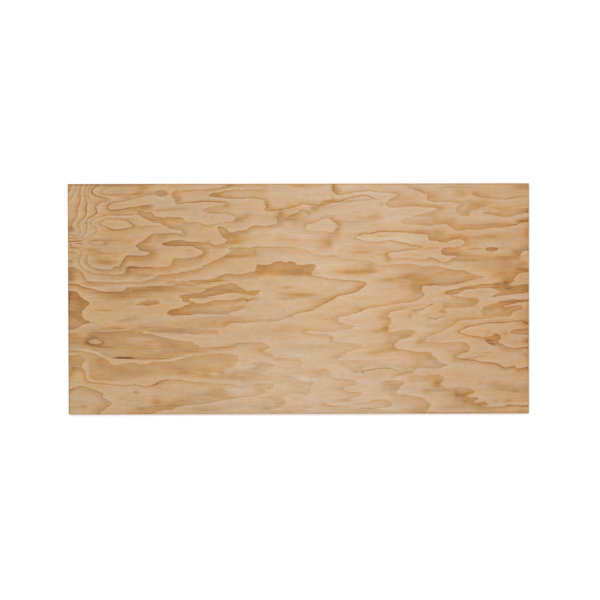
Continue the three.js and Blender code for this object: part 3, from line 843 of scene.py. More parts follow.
stain(0.35, 20, 2.5, (360, 303), (395, 301), (440, 298), (500, 298))
stain(0.12, 25, 6, (435, 160))
stain(-0.08, 90, 28, (440, 222))
stain(-0.1, 35, 18, (450, 350))
stain(0.34, 24, 26, (462, 66))
stain(0.25, 22, 9, (470, 160), (492, 172))
# The near third, 488 to 976 mm.
stain(-0.1, 60, 16, (490, 236))
stain(0.12, 30, 14, (530, 50))
stain(0.08, 60, 12, (550, 340))
stain(0.1, 45, 12, (540, 42), (590, 66))
stain(-0.06, 60, 30, (580, 150))
stain(-0.1, 40, 15, (590, 379))
stain(0.1, 40, 12, (600, 223))
stain(0.12, 40, 16, (622, 223))
stain(-0.08, 40, 18, (640, 372))
stain(-0.12, 26, 8, (672, 363))
stain(0.15, 80, 20, (640, 235), (720, 245))
stain(0.12, 50, 5, (690, 162))
stain(-0.06, 60, 7, (620, 306), (760, 328))
stain(-0.12, 55, 14, (712, 283))
stain(0.18, 50, 14, (720, 107))
stain(0.15, 22, 20, (722, 216))
stain(0.15, 45, 12, (725, 20))
stain(0.22, 55, 13, (700, 34), (780, 32))
stain(-0.12, 40, 12, (740, 100))
stain(0.2, 50, 6, (760, 230))
stain(0.15, 50, 7, (735, 354), (800, 357))
stain(-0.3, 22, 5, (768, 214))
stain(0.12, 50, 6, (770, 136))
stain(0.2, 50, 24, (770, 114), (805, 108))
stain(0.2, 14, 8, (812, 130))
stain(0.2, 14, 10, (812, 222))
stain(0.15, 14, 20, (812, 228))
stain(0.15, 35, 24, (830, 273))
stain(0.2, 70, 11, (720, 205), (800, 200), (880, 202), (980, 204))
stain(0.1, 30, 5, (850, 369))
stain(0.12, 20, 4, (868, 87))
stain(0.1, 40, 16, (880, 46))
stain(0.12, 40, 5, (890, 351))
stain(0.2, 50, 7, (860, 368), (930, 382))
stain(-0.1, 50, 12, (900, 253))
stain(-0.15, 60, 18, (880, 125), (940, 130))
stain(0.15, 14, 8, (925, 185))
stain(0.15, 60, 9, (900, 190), (950, 188))
stain(-0.2, 45, 5, (925, 208))
stain(-0.12, 40, 7, (925, 319))
stain(-0.12, 30, 5, (925, 377))
stain(0.14, 38, 4, (940, 160))
stain(-0.08, 50, 4, (960, 103))
# The near third, 976 to 1464 mm.
stain(0.2, 22, 6, (985, 217))
stain(0.1, 40, 14, (1000, 41))
stain(0.12, 26, 10, (1003, 337))
stain(0.12, 20, 14, (1008, 253))
stain(0.2, 24, 18, (1010, 130))
stain(0.12, 30, 20, (1010, 350))
stain(-0.12, 25, 6, (1025, 100))
stain(0.14, 40, 10, (1040, 263))
stain(0.2, 22, 22, (1045, 40))
stain(0.15, 15, 6, (1048, 30))
stain(-0.15, 60, 7, (1010, 197), (1090, 197))
stain(0.3, 25, 3, (1075, 8))
stain(0.1, 40, 12, (1075, 81))
stain(0.08, 22, 20, (1112, 70))
stain(0.15, 60, 4, (1120, 18), (1180, 18))
stain(-0.12, 26, 14, (1150, 81))
stain(-0.08, 40, 20, (1150, 146))
stain(-0.12, 30, 14, (1150, 263))
stain(0.12, 18, 6, (1160, 239))
stain(0.25, 25, 3, (1170, 12))
stain(0.1, 60, 5, (1180, 42))
stain(0.1, 50, 26, (1180, 370))
stain(0.08, 50, 22, (1230, 150))
stain(-0.15, 35, 12, (1235, 188))
stain(-0.12, 35, 14, (1235, 378))
stain(0.1, 30, 5, (1240, 21))
stain(0.12, 30, 13, (1245, 115))
stain(-0.1, 22, 8, (1250, 173))
stain(-0.12, 40, 14, (1280, 298))
stain(-0.08, 60, 20, (1290, 79))
stain(0.15, 35, 6, (1310, 200))
stain(0.05, 60, 14, (1310, 230))
stain(-0.1, 50, 10, (1310, 244))
stain(-0.1, 35, 10, (1315, 140))
stain(0.15, 40, 18, (1330, 222))
stain(0.35, 16, 9, (1347, 55))
stain(0.1, 60, 12, (1350, 360))
stain(0.1, 120, 12, (1260, 357), (1460, 358))
stain(0.15, 14, 5, (1367, 49))
stain(-0.08, 35, 14, (1375, 161))
stain(0.1, 40, 10, (1390, 140))
stain(0.5, 5, 9, (1395, 404))
stain(-0.1, 22, 6, (1402, 311))
stain(0.12, 30, 12, (1395, 292), (1420, 325))
stain(0.15, 20, 5, (1412, 23))
stain(-0.12, 50, 6, (1420, 55))
stain(0.15, 28, 4, (1410, 66), (1445, 68))
stain(0.18, 50, 8, (1400, 38), (1470, 40))
stain(0.12, 35, 10, (1435, 137))
stain(0.15, 60, 9, (1440, 30))
stain(0.1, 60, 9, (1440, 71))
stain(-0.12, 22, 6, (1452, 85))
stain(-0.12, 22, 8, (1455, 92))
# The near third, 1464 to 1952 mm.
stain(0.3, 28, 9, (1475, 74))
stain(0.1, 40, 12, (1480, 172))
stain(0.15, 40, 8, (1500, 128))
stain(0.25, 28, 5, (1515, 114))
stain(0.25, 18, 8, (1525, 228))
stain(-0.08, 50, 6, (1530, 290))
stain(0.15, 14, 6, (1546, 113))
stain(1.2, 4, 6, (1555, 226))
stain(0.25, 30, 13, (1555, 251))
stain(0.6, 4, 5, (1560, 226))
stain(0.1, 70, 7, (1570, 75))
stain(-0.08, 40, 9, (1575, 51))
stain(0.35, 60, 10, (1560, 20), (1610, 22))
stain(-0.08, 45, 18, (1590, 166))
# Painted shade along the near edge, like the darker border of the face.
stain(0.12, 60, 10, (1360, 8), (1900, 8))
stain(0.07, 60, 22, (1640, 210))
stain(0.1, 50, 10, (1640, 400))
stain(0.14, 60, 16, (1650, 360))
stain(0.15, 13, 26, (1669, 130))
stain(0.08, 40, 5, (1670, 285))
stain(0.28, 45, 11, (1620, 328), (1680, 337), (1710, 345))
stain(0.15, 18, 12, (1685, 55))
stain(0.12, 20, 14, (1690, 375))
stain(0.15, 55, 7, (1660, 255), (1740, 252))
stain(0.18, 22, 25, (1703, 388))
stain(0.15, 10, 14, (1712, 49))
stain(0.12, 14, 5, (1715, 192))
stain(0.18, 34, 22, (1716, 146))
stain(-0.08, 50, 8, (1730, 297))
stain(-0.12, 40, 9, (1735, 86))
stain(0.15, 8, 10, (1738, 118))
stain(0.2, 8, 8, (1774, 162))
stain(0.25, 26, 9, (1765, 211), (1797, 217))
stain(0.12, 40, 8, (1765, 250), (1820, 253))
stain(-0.08, 40, 12, (1800, 73))
stain(0.25, 40, 9, (1810, 22))
stain(-0.1, 25, 8, (1835, 189))
stain(0.2, 30, 18, (1850, 35))
stain(-0.08, 30, 20, (1850, 61))
stain(0.18, 30, 16, (1850, 285))
stain(0.3, 16, 7, (1850, 376))
stain(0.3, 20, 14, (1865, 389))
stain(0.2, 10, 4, (1887, 109))
stain(0.25, 20, 13, (1895, 120))
stain(0.25, 8, 18, (1905, 40))
stain(0.22, 28, 20, (1905, 300))
stain(0.2, 14, 4, (1912, 217))
stain(0.15, 35, 9, (1930, 394))
stain(0.25, 22, 13, (1940, 150))
stain(0.15, 45, 5, (1945, 124))
stain(0.22, 45, 6, (1910, 128), (1990, 126))
# The near third, 1952 mm to right end.
stain(0.3, 22, 20, (1952, 165))
stain(0.12, 40, 18, (2010, 86))
stain(-0.08, 50, 16, (1970, 345), (2060, 360))
stain(0.1, 30, 12, (2035, 333))
stain(0.12, 60, 14, (2040, 50))
stain(0.35, 15, 22, (2056, 106))
stain(0.15, 12, 6, (2058, 71))
stain(0.25, 70, 9, (2060, 35))
stain(0.15, 16, 5, (2062, 304))
stain(0.3, 36, 16, (2050, 105), (2085, 98))
stain(0.1, 22, 14, (2075, 205))
stain(0.2, 14, 5, (2088, 39))
stain(0.12, 22, 20, (2095, 350))
stain(0.2, 16, 12, (2106, 67))
stain(0.12, 35, 16, (2125, 66))
stain(0.2, 14, 5, (2125, 111))
stain(-0.06, 120, 40, (2150, 236))
stain(-0.1, 25, 14, (2160, 352))
stain(0.15, 28, 6, (2165, 292))
stain(0.2, 12, 6, (2177, 46))
# Painted shade along the near edge, like the darker border of the face.
stain(0.35, 60, 5, (1930, 3), (2430, 3))
stain(0.2, 9, 8, (2183, 169))
stain(-0.1, 30, 20, (2205, 151))
stain(0.3, 18, 5, (2216, 324))
stain(0.15, 12, 8, (2216, 392))
stain(0.15, 14, 10, (2250, 161))
stain(0.2, 28, 14, (2250, 390))
stain(0.2, 12, 4, (2265, 68))
stain(-0.1, 70, 12, (2310, 302))
stain(0.42, 20, 8, (2330, 70))
stain(0.22, 60, 15, (2250, 150), (2330, 138), (2410, 130))
stain(0.3, 18, 9, (2335, 48))
stain(0.25, 9, 6, (2358, 257))
stain(0.15, 40, 5, (2300, 128), (2360, 120), (2420, 122))
stain(0.2, 18, 5, (2362, 120))
stain(0.2, 22, 7, (2368, 120))
stain(-0.08, 40, 5, (2370, 347))
stain(0.1, 50, 16, (2370, 385))
stain(0.08, 40, 16, (2400, 79))
stain(0.25, 50, 8, (2410, 12))
stain(0.4, 6, 10, (2424, 309))
stain(-0.12, 25, 9, (2425, 335))
stain(0.5, 16, 18, (2430, 388))
# Painted shade along the right end, like the darker border of the face.
stain(0.2, 9, 60, (2437, 300))

# The wood between the lines is palest some way past the middle of the sheet, and darker towards both ends.
END_TONE, PALEST_TONE = 0.40, 0.12
PALEST_AT, PALEST_REACH = 1430, 650  # mm from the left end, and from there to where it has mostly darkened
# Its colour is fullest round one place, and duller towards the left end and along the near side.
DULL, FULL = 0.94, 1.07
FULLEST_AT, FULLEST_REACH = (1700, 720), (950, 520)
DUSTY, DUSTY_WIDTH = 0.05, 110  # how much duller the near side is, and over how many mm

NUDGE = (0, -2.7)  # mm to the right and up, by which the whole drawing is moved
CURVE_STEP = 6  # mm between the points of a drawn line
CREST = 2.5  # mm from the border of the brown wood to its darkest line, which is the line drawn
PLATEAU = 0.1  # the share of its width over which the brown wood keeps its full tone
SPRINGWOOD = 14  # mm over which the palest spring wood fades, beyond the line
SPRINGWOOD_END = 3 * SPRINGWOOD
PALENESS = 0.15  # how much paler that spring wood is
WEAK_RING = 0.25  # tan and dark together under which it is less pale than that
REACH_MARGIN = 1.05  # a line is followed a little past the end of its fade
TAPER = 45  # mm over which a line that ends inside the sheet dies away
TAPER_SHARE = 0.35  # the most of its length that it takes for that
FADED_OUT = 0.02  # what is left of a line where it no longer parts two sides
WAVES, WAVES_OVER = 0.25, (37, 83)  # how much the darkest wood comes and goes, and how slowly, in mm
CRISP_REACH = 14  # mm from a line within which its two sides are told apart
FAR_OFF = 50  # mm: the distance given where no line is near
STAIN_END = 2.6  # half-widths from its middle at which a stain has gone
CONTRAST = 1.14  # how strongly rings and stains show over the ground


def curve_through(points, closed=False):
    """A smooth curve through the points, as a row of places."""
    p = np.array(points, float)
    if len(p) == 1:
        return np.vstack([p, p])
    if closed:
        p = np.vstack([p[-1:], p, p[:2]])
    else:
        p = np.vstack([2 * p[0] - p[1], p, 2 * p[-1] - p[-2]])
    places = []
    for a, b, c, d in zip(p[:-3], p[1:-2], p[2:-1], p[3:]):
        count = max(2, int(np.hypot(*(c - b)) / CURVE_STEP) + 1)
        t = np.linspace(0, 1, count, endpoint=False)[:, None]
        bend = (2 * a - 5 * b + 4 * c - d) * t ** 2 + (3 * b - a - 3 * c + d) * t ** 3
        places.append(0.5 * (2 * b + (c - a) * t + bend))
    places.append(p[-2][None])
    return np.vstack(places)


def beside_line(x, y, line, reach):
    """For the points near a line: their numbers, how far to its left they lie, how far along it, its whole
    length, and how squarely it crosses the grain there."""
    first, last = line.min(0) - reach, line.max(0) + reach
    near = np.nonzero((x > first[0]) & (x < last[0]) & (y > first[1]) & (y < last[1]))[0]
    px, py = x[near], y[near]
    best = np.full(len(near), np.inf)
    left = np.zeros(len(near))
    along = np.zeros(len(near))
    crossing = np.zeros(len(near))
    favour, shortest = 1e-4, 1e-9
    start = 0.0
    for (ax, ay), (bx, by) in zip(line[:-1], line[1:]):
        length = max(math.hypot(bx - ax, by - ay), shortest)
        ux, uy = (bx - ax) / length, (by - ay) / length
        t = np.clip((px - ax) * ux + (py - ay) * uy, 0, length)
        across = ux * (py - ay) - uy * (px - ax)
        square = (px - ax - t * ux) ** 2 + (py - ay - t * uy) ** 2
        # At a bend two stretches are as near: the one that the point lies more squarely beside wins.
        rank = square - favour * across ** 2
        closer = rank < best
        best = np.where(closer, rank, best)
        left = np.where(closer, np.where(across >= 0, 1, -1) * np.sqrt(square), left)
        along = np.where(closer, start + t, along)
        crossing = np.where(closer, abs(uy), crossing)
        start += length
    return near, left, along, start, crossing


def eased(share):
    """A share from 0 to 1 that sets off and comes to rest gently."""
    return share * share * (3 - 2 * share)


def face_tone(x, y):
    """The tone of the wood on the pale and on the brown side of the nearest line, how far to the left of it
    the point lies, how dark its latewood is, and how squarely it crosses the grain."""
    brown_sum, pale_sum = np.zeros(len(x)), np.zeros(len(x))
    nearest, edge = np.full(len(x), np.inf), np.full(len(x), float(FAR_OFF))
    latewood, crossing = np.zeros(len(x)), np.zeros(len(x))
    brown_here, brown_there = np.zeros(len(x)), np.zeros(len(x))
    pale_here, pale_there = np.zeros(len(x)), np.zeros(len(x))
    for tan, fade, dark, points, closed in rings:
        line = curve_through(points, closed) + NUDGE
        reach = REACH_MARGIN * max(np.max(fade), SPRINGWOOD_END)
        near, left, along, length, across_grain = beside_line(x, y, line, reach)
        left = left + CREST
        weight = np.ones(len(near))
        if not closed:
            taper = min(TAPER, TAPER_SHARE * length)
            for end, gone in ((line[0], along), (line[-1], length - along)):
                if 0 < end[0] < LENGTH and 0 < end[1] < WIDTH:
                    weight = weight * eased(np.clip(gone / taper, 0, 1))
        tan, fade, dark = (np.interp(along / length, np.linspace(0, 1, np.size(row)), np.atleast_1d(row))
                           for row in (tan, fade, dark))
        inside, outside = np.maximum(left, 0), np.maximum(-left, 0)
        fall = eased(1 - np.clip((inside / fade - PLATEAU) / (1 - PLATEAU), 0, 1))
        # The darkest wood comes and goes, as the knife cuts more or less squarely across the ring.
        waves = np.sin(along / WAVES_OVER[0] + len(points)) * np.sin(along / WAVES_OVER[1] + length)
        brown = CONTRAST * weight * tan * fall
        pale = weight * PALENESS * np.clip((tan + dark) / WEAK_RING, 0, 1) * np.exp(-outside / SPRINGWOOD)
        own_brown = np.where(left > 0, brown, 0)
        own_pale = np.where(left > 0, 0, pale)
        brown_sum[near] += own_brown ** 3
        pale_sum[near] += own_pale ** 2
        closer = (np.abs(left) < nearest[near]) & (weight > FADED_OUT)
        won = near[closer]
        nearest[won] = np.abs(left)[closer]
        edge[won] = left[closer]
        latewood[won] = (CONTRAST * weight * dark * (1 + WAVES * waves))[closer]
        crossing[won] = across_grain[closer]
        brown_here[won], brown_there[won] = own_brown[closer], brown[closer]
        pale_here[won], pale_there[won] = own_pale[closer], pale[closer]
    ground = END_TONE - (END_TONE - PALEST_TONE) * np.exp(-((x - PALEST_AT) / PALEST_REACH) ** 2)
    for tone, along, across, points in stains:
        squeeze = np.array([across / along, 1])
        line = (curve_through(points) + NUDGE) * squeeze
        near, left, *_ = beside_line(x * squeeze[0], y, line, STAIN_END * across)
        ground[near] += CONTRAST * tone * np.exp(-(left / across) ** 2)
    # Where rings overlap, the strongest shows most: brown wood adds up as cubes, and pale wood as squares.
    others = np.maximum(brown_sum - brown_here ** 3, 0)
    pale_rest = np.maximum(pale_sum - pale_here ** 2, 0)
    whole = ground + np.cbrt(brown_sum) - np.sqrt(pale_sum)
    far = nearest > CRISP_REACH
    on_brown = np.where(far, whole, ground + np.cbrt(others + brown_there ** 3) - np.sqrt(pale_rest))
    on_pale = np.where(far, whole, ground + np.cbrt(others) - np.sqrt(pale_rest + pale_there ** 2))
    return on_pale, on_brown, edge, latewood, crossing


# ---- The sheet: its shape ----
# Seven veneers are glued crosswise under heat and pressure and the panel is trimmed by saws on all four
# sides. The saws leave square edges with the ends of the plies in view, glue lines between them, and here
# and there a gap where two strips of a hidden ply don't meet. Handling dulls the corners and arrises.

CORNER = 1.5  # radius of the four upright corner edges
ARRIS = 0.6  # radius of the long arrises
ARRIS_TURNS = (0, 30, 60, 90)  # degrees round the arris at which it has a row of points
PLIES = (2.4, 2.7, 2.6, 2.6, 2.6, 2.7, 2.4)  # from the back up, scaled to fill the thickness
GLUE = 0.35  # a real glue line is about 0.15 mm: it is drawn wider, or it wouldn't show at all
GLUE_DEPTH = 0.12  # how far the edge steps in over a glue line
LATEWOOD_RISE = 0.10  # latewood stands proud, because the hot press flattens softer spring wood more

# The long split in the face: where it runs along the sheet, how far up, how deep, and half its width.
SPLIT_FROM, SPLIT_TO, SPLIT_LINE = 236, 352, 303
SPLIT_DEPTH, SPLIT_HALF_WIDTH = 1.1, 1.9
SPLIT_POINTED = 0.6  # less makes its ends blunter

# Points lie closer together in a strip along the border, where rings crowd at the left end, and at the split.
STRIP, STRIP_STEP = 9, 4
CROWDED_TO, CROWDED_STEP, OPEN_STEP = 350, 5.2, 10
UP_STEP, SPLIT_STRIP, SPLIT_STEP = 5, 2.4, 1.2


def stations(side, *stretches):
    """Places along a side: close in the strips at its ends, and in between as the stretches say, each with
    its end and its step."""
    near_strip = ((CORNER, CORNER), (STRIP - STRIP_STEP, STRIP_STEP), (STRIP, STRIP_STEP))
    far_strip = ((side - STRIP + STRIP_STEP, STRIP_STEP), (side - CORNER, STRIP_STEP), (side, CORNER))
    places, start = [0.0], 0.0
    for end, step in (*near_strip, *stretches, *far_strip):
        count = max(1, round((end - start) / step))
        places += list(start + (end - start) * (n + 1) / count for n in range(count))
        start = end
    return np.array(places)


across_sheet = stations(LENGTH, (CROWDED_TO, CROWDED_STEP), (LENGTH - STRIP, OPEN_STEP))
up_sheet = stations(WIDTH, (SPLIT_LINE - SPLIT_STRIP, UP_STEP), (SPLIT_LINE + SPLIT_STRIP, SPLIT_STEP),
                    (WIDTH - STRIP, UP_STEP))
columns, rows = len(across_sheet), len(up_sheet)
face_x, face_y = (v.ravel() for v in np.meshgrid(across_sheet, up_sheet))
on_pale, on_brown, edge_distance, latewood, crossing = face_tone(face_x, face_y)

# At the left end the rings turn as round a knot, and the knife has hardly torn them there.
TURNED_TO, TORN_FROM = 120, 280  # mm from the left end
LEAST_TORN = 0.2
crossing *= np.clip((face_x - TURNED_TO) / (TORN_FROM - TURNED_TO), LEAST_TORN, 1)

# Painted shade: the border of the face is a little darker, most of all at the left end and the far side, as
# if shaded where the arris rounds off.
SHADED_RIM_WIDTH = 7
SHADED_RIM_SOLID = 1.6  # above 1, the painted shade has its full tone over part of its width
RIM_SHADE_TONES = (0.45, 0.34, 0.30, 0.45)  # at the left end, the right end, the near side and the far side
for tone, distance in zip(RIM_SHADE_TONES, (face_x, LENGTH - face_x, face_y, WIDTH - face_y)):
    # Painted shade, added to both sides' tones along each side of the border.
    rim_shade = tone * np.clip(SHADED_RIM_SOLID * (1 - distance / SHADED_RIM_WIDTH), 0, 1)
    on_pale += rim_shade
    on_brown += rim_shade

from_fullest = (((face_x - FULLEST_AT[0]) / FULLEST_REACH[0]) ** 2
                + ((face_y - FULLEST_AT[1]) / FULLEST_REACH[1]) ** 2)
colour_fullness = DULL + (FULL - DULL) * np.exp(-from_fullest) - DUSTY * np.exp(-(face_y / DUSTY_WIDTH) ** 2)

# The border of the face's grid of points, anticlockwise from the near left corner, is the sheet's outline.
# Its corners are cut back to the round. Each point has its way inward, and the side on which it lies.
DIAGONAL = math.sqrt(0.5)
face_grid = np.arange(rows * columns).reshape(rows, columns)
border = np.concatenate([face_grid[0], face_grid[1:, -1], face_grid[-1, -2::-1], face_grid[-2:0:-1, 0]])
outline = np.stack([face_x[border], face_y[border]], 1)
inward = np.stack([(outline[:, 0] == 0) * 1.0 - (outline[:, 0] == LENGTH),
                   (outline[:, 1] == 0) * 1.0 - (outline[:, 1] == WIDTH)], 1)
at_corner = np.abs(inward).sum(1) > 1
outline[at_corner] += inward[at_corner] * CORNER * (1 - DIAGONAL)
inward[at_corner] *= DIAGONAL
NEAR, RIGHT, FAR, LEFT = range(4)
side = np.select([outline[:, 1] < CORNER / 2, outline[:, 0] > LENGTH - CORNER / 2,
                  outline[:, 1] > WIDTH - CORNER / 2], [NEAR, RIGHT, FAR], LEFT)

# The levels of the sawn edge from the back up, each with its height and how far in it lies, and what stands
# between it and the next one: a ply, by its number, or glue.
arris = [(ARRIS * (1 - math.cos(angle)), ARRIS * (1 - math.sin(angle)))
         for angle in map(math.radians, ARRIS_TURNS)]
levels = list(arris)
bands = [0] * len(arris)
boundary = 0.0
for ply, thick in enumerate(PLIES[:-1]):
    boundary += thick * THICKNESS / sum(PLIES)
    levels += [(boundary - GLUE / 2, 0), (boundary + GLUE / 2, GLUE_DEPTH)]
    bands += ["glue", ply + 1]
levels += [(THICKNESS - height, depth) for height, depth in reversed(arris)]
bands += [len(PLIES) - 1] * len(arris)

# Gaps in the hidden plies: the side, how far along or up it, the length, and the ply from the back up.
CORE_GAPS = ((NEAR, 540, 24, 1), (NEAR, 1690, 16, 3), (NEAR, 2105, 30, 5),
             (FAR, 322, 20, 3), (FAR, 1240, 34, 1), (FAR, 1985, 14, 5),
             (RIGHT, 402, 18, 2), (LEFT, 815, 22, 4), (RIGHT, 961, 14, 4))
CORE_GAP_DEPTH = 7
SAW_WANDER = 0.06  # how unevenly the saws cut the plies
CHIPS = 46  # small bruises on the arris of the face
CHIP_DEPTHS = (0.15, 0.5)

chance = np.random.default_rng(2440)
along_side = np.where(side % 2 == 0, outline[:, 0], outline[:, 1])
wall_places = []
for level, (height, depth) in enumerate(levels):
    inset = depth + chance.uniform(0, SAW_WANDER, len(border))
    for gap_side, place, length, ply in CORE_GAPS:
        if ply in (bands[level], bands[level - 1]):
            inset[(side == gap_side) & (np.abs(along_side - place) < length / 2)] += CORE_GAP_DEPTH
    wall_places.append(np.column_stack([outline + inward * inset[:, None], np.full(len(border), height)]))
for _ in range(CHIPS):
    bruise, depth = chance.integers(0, len(border) - 1), chance.uniform(*CHIP_DEPTHS)
    for row in wall_places[-2:]:
        row[bruise, :2] += inward[bruise] * depth
        row[bruise, 2] -= depth / 2

# The face: its brown latewood stands a little proud, and the split is a narrow groove.
brown_share = np.clip(np.where(edge_distance > 0, on_brown, on_pale), 0, 1)
face_z = THICKNESS - LATEWOOD_RISE * (1 - brown_share)
split_along = np.clip((face_x - SPLIT_FROM) / (SPLIT_TO - SPLIT_FROM), 0, 1)
split_width = SPLIT_HALF_WIDTH * np.sin(math.pi * split_along) ** SPLIT_POINTED
in_split = (face_x > SPLIT_FROM) & (face_x < SPLIT_TO) & (np.abs(face_y - SPLIT_LINE) < split_width)
face_z[in_split] -= SPLIT_DEPTH
face_places = np.column_stack([face_x, face_y, face_z])
face_places[border] = wall_places.pop()

# The back is flat, so it needs only every fourth row and column, stitched to the finer outline.
BACK_STEP = 4
back_columns = np.array(sorted({*range(1, columns - 1, BACK_STEP), columns - 2}))
back_rows = np.array(sorted({*range(1, rows - 1, BACK_STEP), rows - 2}))
back_x, back_y = (v.ravel() for v in np.meshgrid(across_sheet[back_columns], up_sheet[back_rows]))
back_places = np.column_stack([back_x, back_y, np.zeros(len(back_x))])

places = np.vstack([face_places, *wall_places, back_places])
places[:, :2] -= (LENGTH / 2, WIDTH / 2)
wall_ids = [len(face_places) + level * len(border) + np.arange(len(border))
            for level in range(len(wall_places))]
wall_ids.append(border)
back_start = len(face_places) + len(wall_places) * len(border)
back_grid = back_start + np.arange(len(back_x)).reshape(len(back_rows), len(back_columns))

PINE_FACE, PINE_BACK, SIDE_GRAIN, END_GRAIN, GLUE_LINE = range(5)  # in the order of the finishes' sections
FACE_CHART, BACK_CHART = 4, 5  # the four sides have the charts 0 to 3
polygons, finishes, charts = [], [], []


def add_polygons(corners, finish, chart):
    """Take a table of polygons, one to a row, into the sheet."""
    polygons.extend(corners.tolist())
    finishes.extend([finish] * len(corners))
    charts.extend([chart] * len(corners))


def grid_cells(grid):
    """The cells of a grid of points, one to a row."""
    corners = (grid[:-1, :-1], grid[:-1, 1:], grid[1:, 1:], grid[1:, :-1])
    return np.column_stack([corner.ravel() for corner in corners])


add_polygons(grid_cells(face_grid), PINE_FACE, FACE_CHART)
# The long sides show the side grain of the even plies, and the ends that of the odd ones.
for level, band in enumerate(bands[:-1]):
    under, over = wall_ids[level], wall_ids[level + 1]
    wall = np.column_stack([under, np.roll(under, -1), np.roll(over, -1), over])
    for n in (NEAR, RIGHT, FAR, LEFT):
        if band == "glue":
            finish = GLUE_LINE
        else:
            finish = SIDE_GRAIN if band % 2 == n % 2 else END_GRAIN
        add_polygons(wall[side == n], finish, n)
add_polygons(grid_cells(back_grid)[:, [0, 3, 2, 1]], PINE_BACK, BACK_CHART)


def stitch(fine, coarse, steps):
    """Join a row of close points to a row of wide ones with triangles. steps says beside which close point
    each wide one stands."""
    corners, current = [], 0
    for n in range(len(fine) - 1):
        if current + 1 < len(coarse) and n >= (steps[current] + steps[current + 1]) / 2:
            corners.append((fine[n], coarse[current], coarse[current + 1]))
            current += 1
        corners.append((fine[n], coarse[current], fine[n + 1]))
    for n in range(current, len(coarse) - 1):
        corners.append((fine[-1], coarse[n], coarse[n + 1]))
    return np.array(corners)


back_outline = np.append(wall_ids[0], wall_ids[0][0])
turns = (0, columns - 1, columns + rows - 2, 2 * columns + rows - 3, len(border))  # where its corners are
back_sides = ((back_grid[0], back_columns), (back_grid[:, -1], back_rows),
              (back_grid[-1, ::-1], columns - 1 - back_columns[::-1]),
              (back_grid[::-1, 0], rows - 1 - back_rows[::-1]))
for (coarse, steps), start, end in zip(back_sides, turns[:-1], turns[1:]):
    add_polygons(stitch(back_outline[start:end + 1], coarse, steps), PINE_BACK, BACK_CHART)

sheet_mesh = bpy.data.meshes.new("sawn_sheet")
sheet_mesh.from_pydata((places * MM).tolist(), [], polygons)
sheet_mesh.polygons.foreach_set("material_index", finishes)
sheet_mesh.polygons.foreach_set("use_smooth", [finish in (PINE_FACE, PINE_BACK) for finish in finishes])
for name, values in (("on_pale", on_pale), ("on_brown", on_brown), ("edge_distance", edge_distance),
                     ("latewood", latewood), ("crossing", crossing), ("colour_fullness", colour_fullness)):
    attribute = sheet_mesh.attributes.new(name, "FLOAT", "POINT")
    attribute.data.foreach_set("value", np.append(values, np.zeros(len(places) - len(values))))

# The map that the finish is laid out on: the four edges as strips at its foot, the face over them at full
# width, and the back on top. Each has its left, bottom, width and height, as shares of the map.
CHARTS = {NEAR: (0.004, 0.004, 0.992, 0.012), FAR: (0.004, 0.020, 0.992, 0.012),
          RIGHT: (0.004, 0.036, 0.490, 0.014), LEFT: (0.506, 0.036, 0.490, 0.014),
          FACE_CHART: (0.004, 0.060, 0.992, 0.496), BACK_CHART: (0.004, 0.562, 0.868, 0.434)}
corner_ids = np.concatenate(polygons)
corner_charts = np.repeat(charts, [len(polygon) for polygon in polygons])
share_x = places[corner_ids, 0] / LENGTH + 0.5
share_y = places[corner_ids, 1] / WIDTH + 0.5
level_of = np.zeros(len(places))
for level, ids in enumerate(wall_ids):
    level_of[ids] = level / (len(wall_ids) - 1)
map_places = np.zeros((len(corner_ids), 2))
for chart, (left, bottom, wide, tall) in CHARTS.items():
    here = corner_charts == chart
    if chart in (FACE_CHART, BACK_CHART):
        u, v = share_x[here], share_y[here]
    else:
        u, v = (share_y if chart in (RIGHT, LEFT) else share_x)[here], level_of[corner_ids[here]]
    map_places[here] = np.column_stack([left + wide * u, bottom + tall * v])
sheet_mesh.uv_layers.new(name="OFBake").data.foreach_set("uv", map_places.ravel())
sheet_mesh.validate()
sheet_mesh.update()

sheet = bpy.data.objects.new("sawn_sheet", sheet_mesh)
bpy.context.scene.collection.objects.link(sheet)
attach(sheet, "root")
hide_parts("plywood_sheet")


# ---- The face veneer: its finish ----
# Rotary-peeled pine, dried and lightly sanded, with no coating. It is matt, with pale spring wood and
# orange-brown latewood, fine fibres that run along the sheet, and short darker resin streaks.


def linear(colour):
    """An sRGB hex colour as linear red, green, blue and alpha, by the formula of that standard."""
    parts = [int(colour[n:n + 2], 16) / 255 for n in (1, 3, 5)]
    return [part / 12.92 if part <= 0.04045 else ((part + 0.055) / 1.055) ** 2.4 for part in parts] + [1]


def bare_material(name):
    """A new material and its empty tree of nodes."""
    material = bpy.data.materials.new(name)
    material.use_nodes = True
    material.node_tree.nodes.clear()
    return material, material.node_tree


def add_node(tree, kind, inputs=None, **settings):
    """Add a shader node with its settings. inputs gives each socket, by name or number, a value, an output to
    link, or a node whose first output is linked."""
    node = tree.nodes.new("ShaderNode" + kind)
    for name, value in settings.items():
        setattr(node, name, value)
    for name, value in (inputs or {}).items():
        if isinstance(value, bpy.types.Node):
            value = value.outputs[0]
        if isinstance(value, bpy.types.NodeSocket):
            tree.links.new(value, node.inputs[name])
        else:
            node.inputs[name].default_value = value
    return node


def grain_pattern(long, wide, thick=None, detail=2.0, roughness=0.5):
    """Noise in the material in hand. Its marks are so many mm long in X, wide in Y and thick in Z."""
    repeats = [1 / (size * MM) for size in (long, wide, thick or wide)]
    stretched = add_node(tree, "VectorMath", {0: place, 1: repeats}, operation="MULTIPLY")
    return add_node(tree, "TexNoise", {"Vector": stretched, "Scale": 1.0, "Detail": detail,
                                       "Roughness": roughness})


def set_shades(ramp, shades):
    """Lay shades, each a tone and a colour, out along a ramp from the first tone to the last."""
    stops = ramp.color_ramp.elements
    for n, (tone, colour) in enumerate(shades):
        share = (tone - shades[0][0]) / (shades[-1][0] - shades[0][0])
        stop = stops[n] if n < len(stops) else stops.new(share)
        stop.position = share
        stop.color = linear(colour)
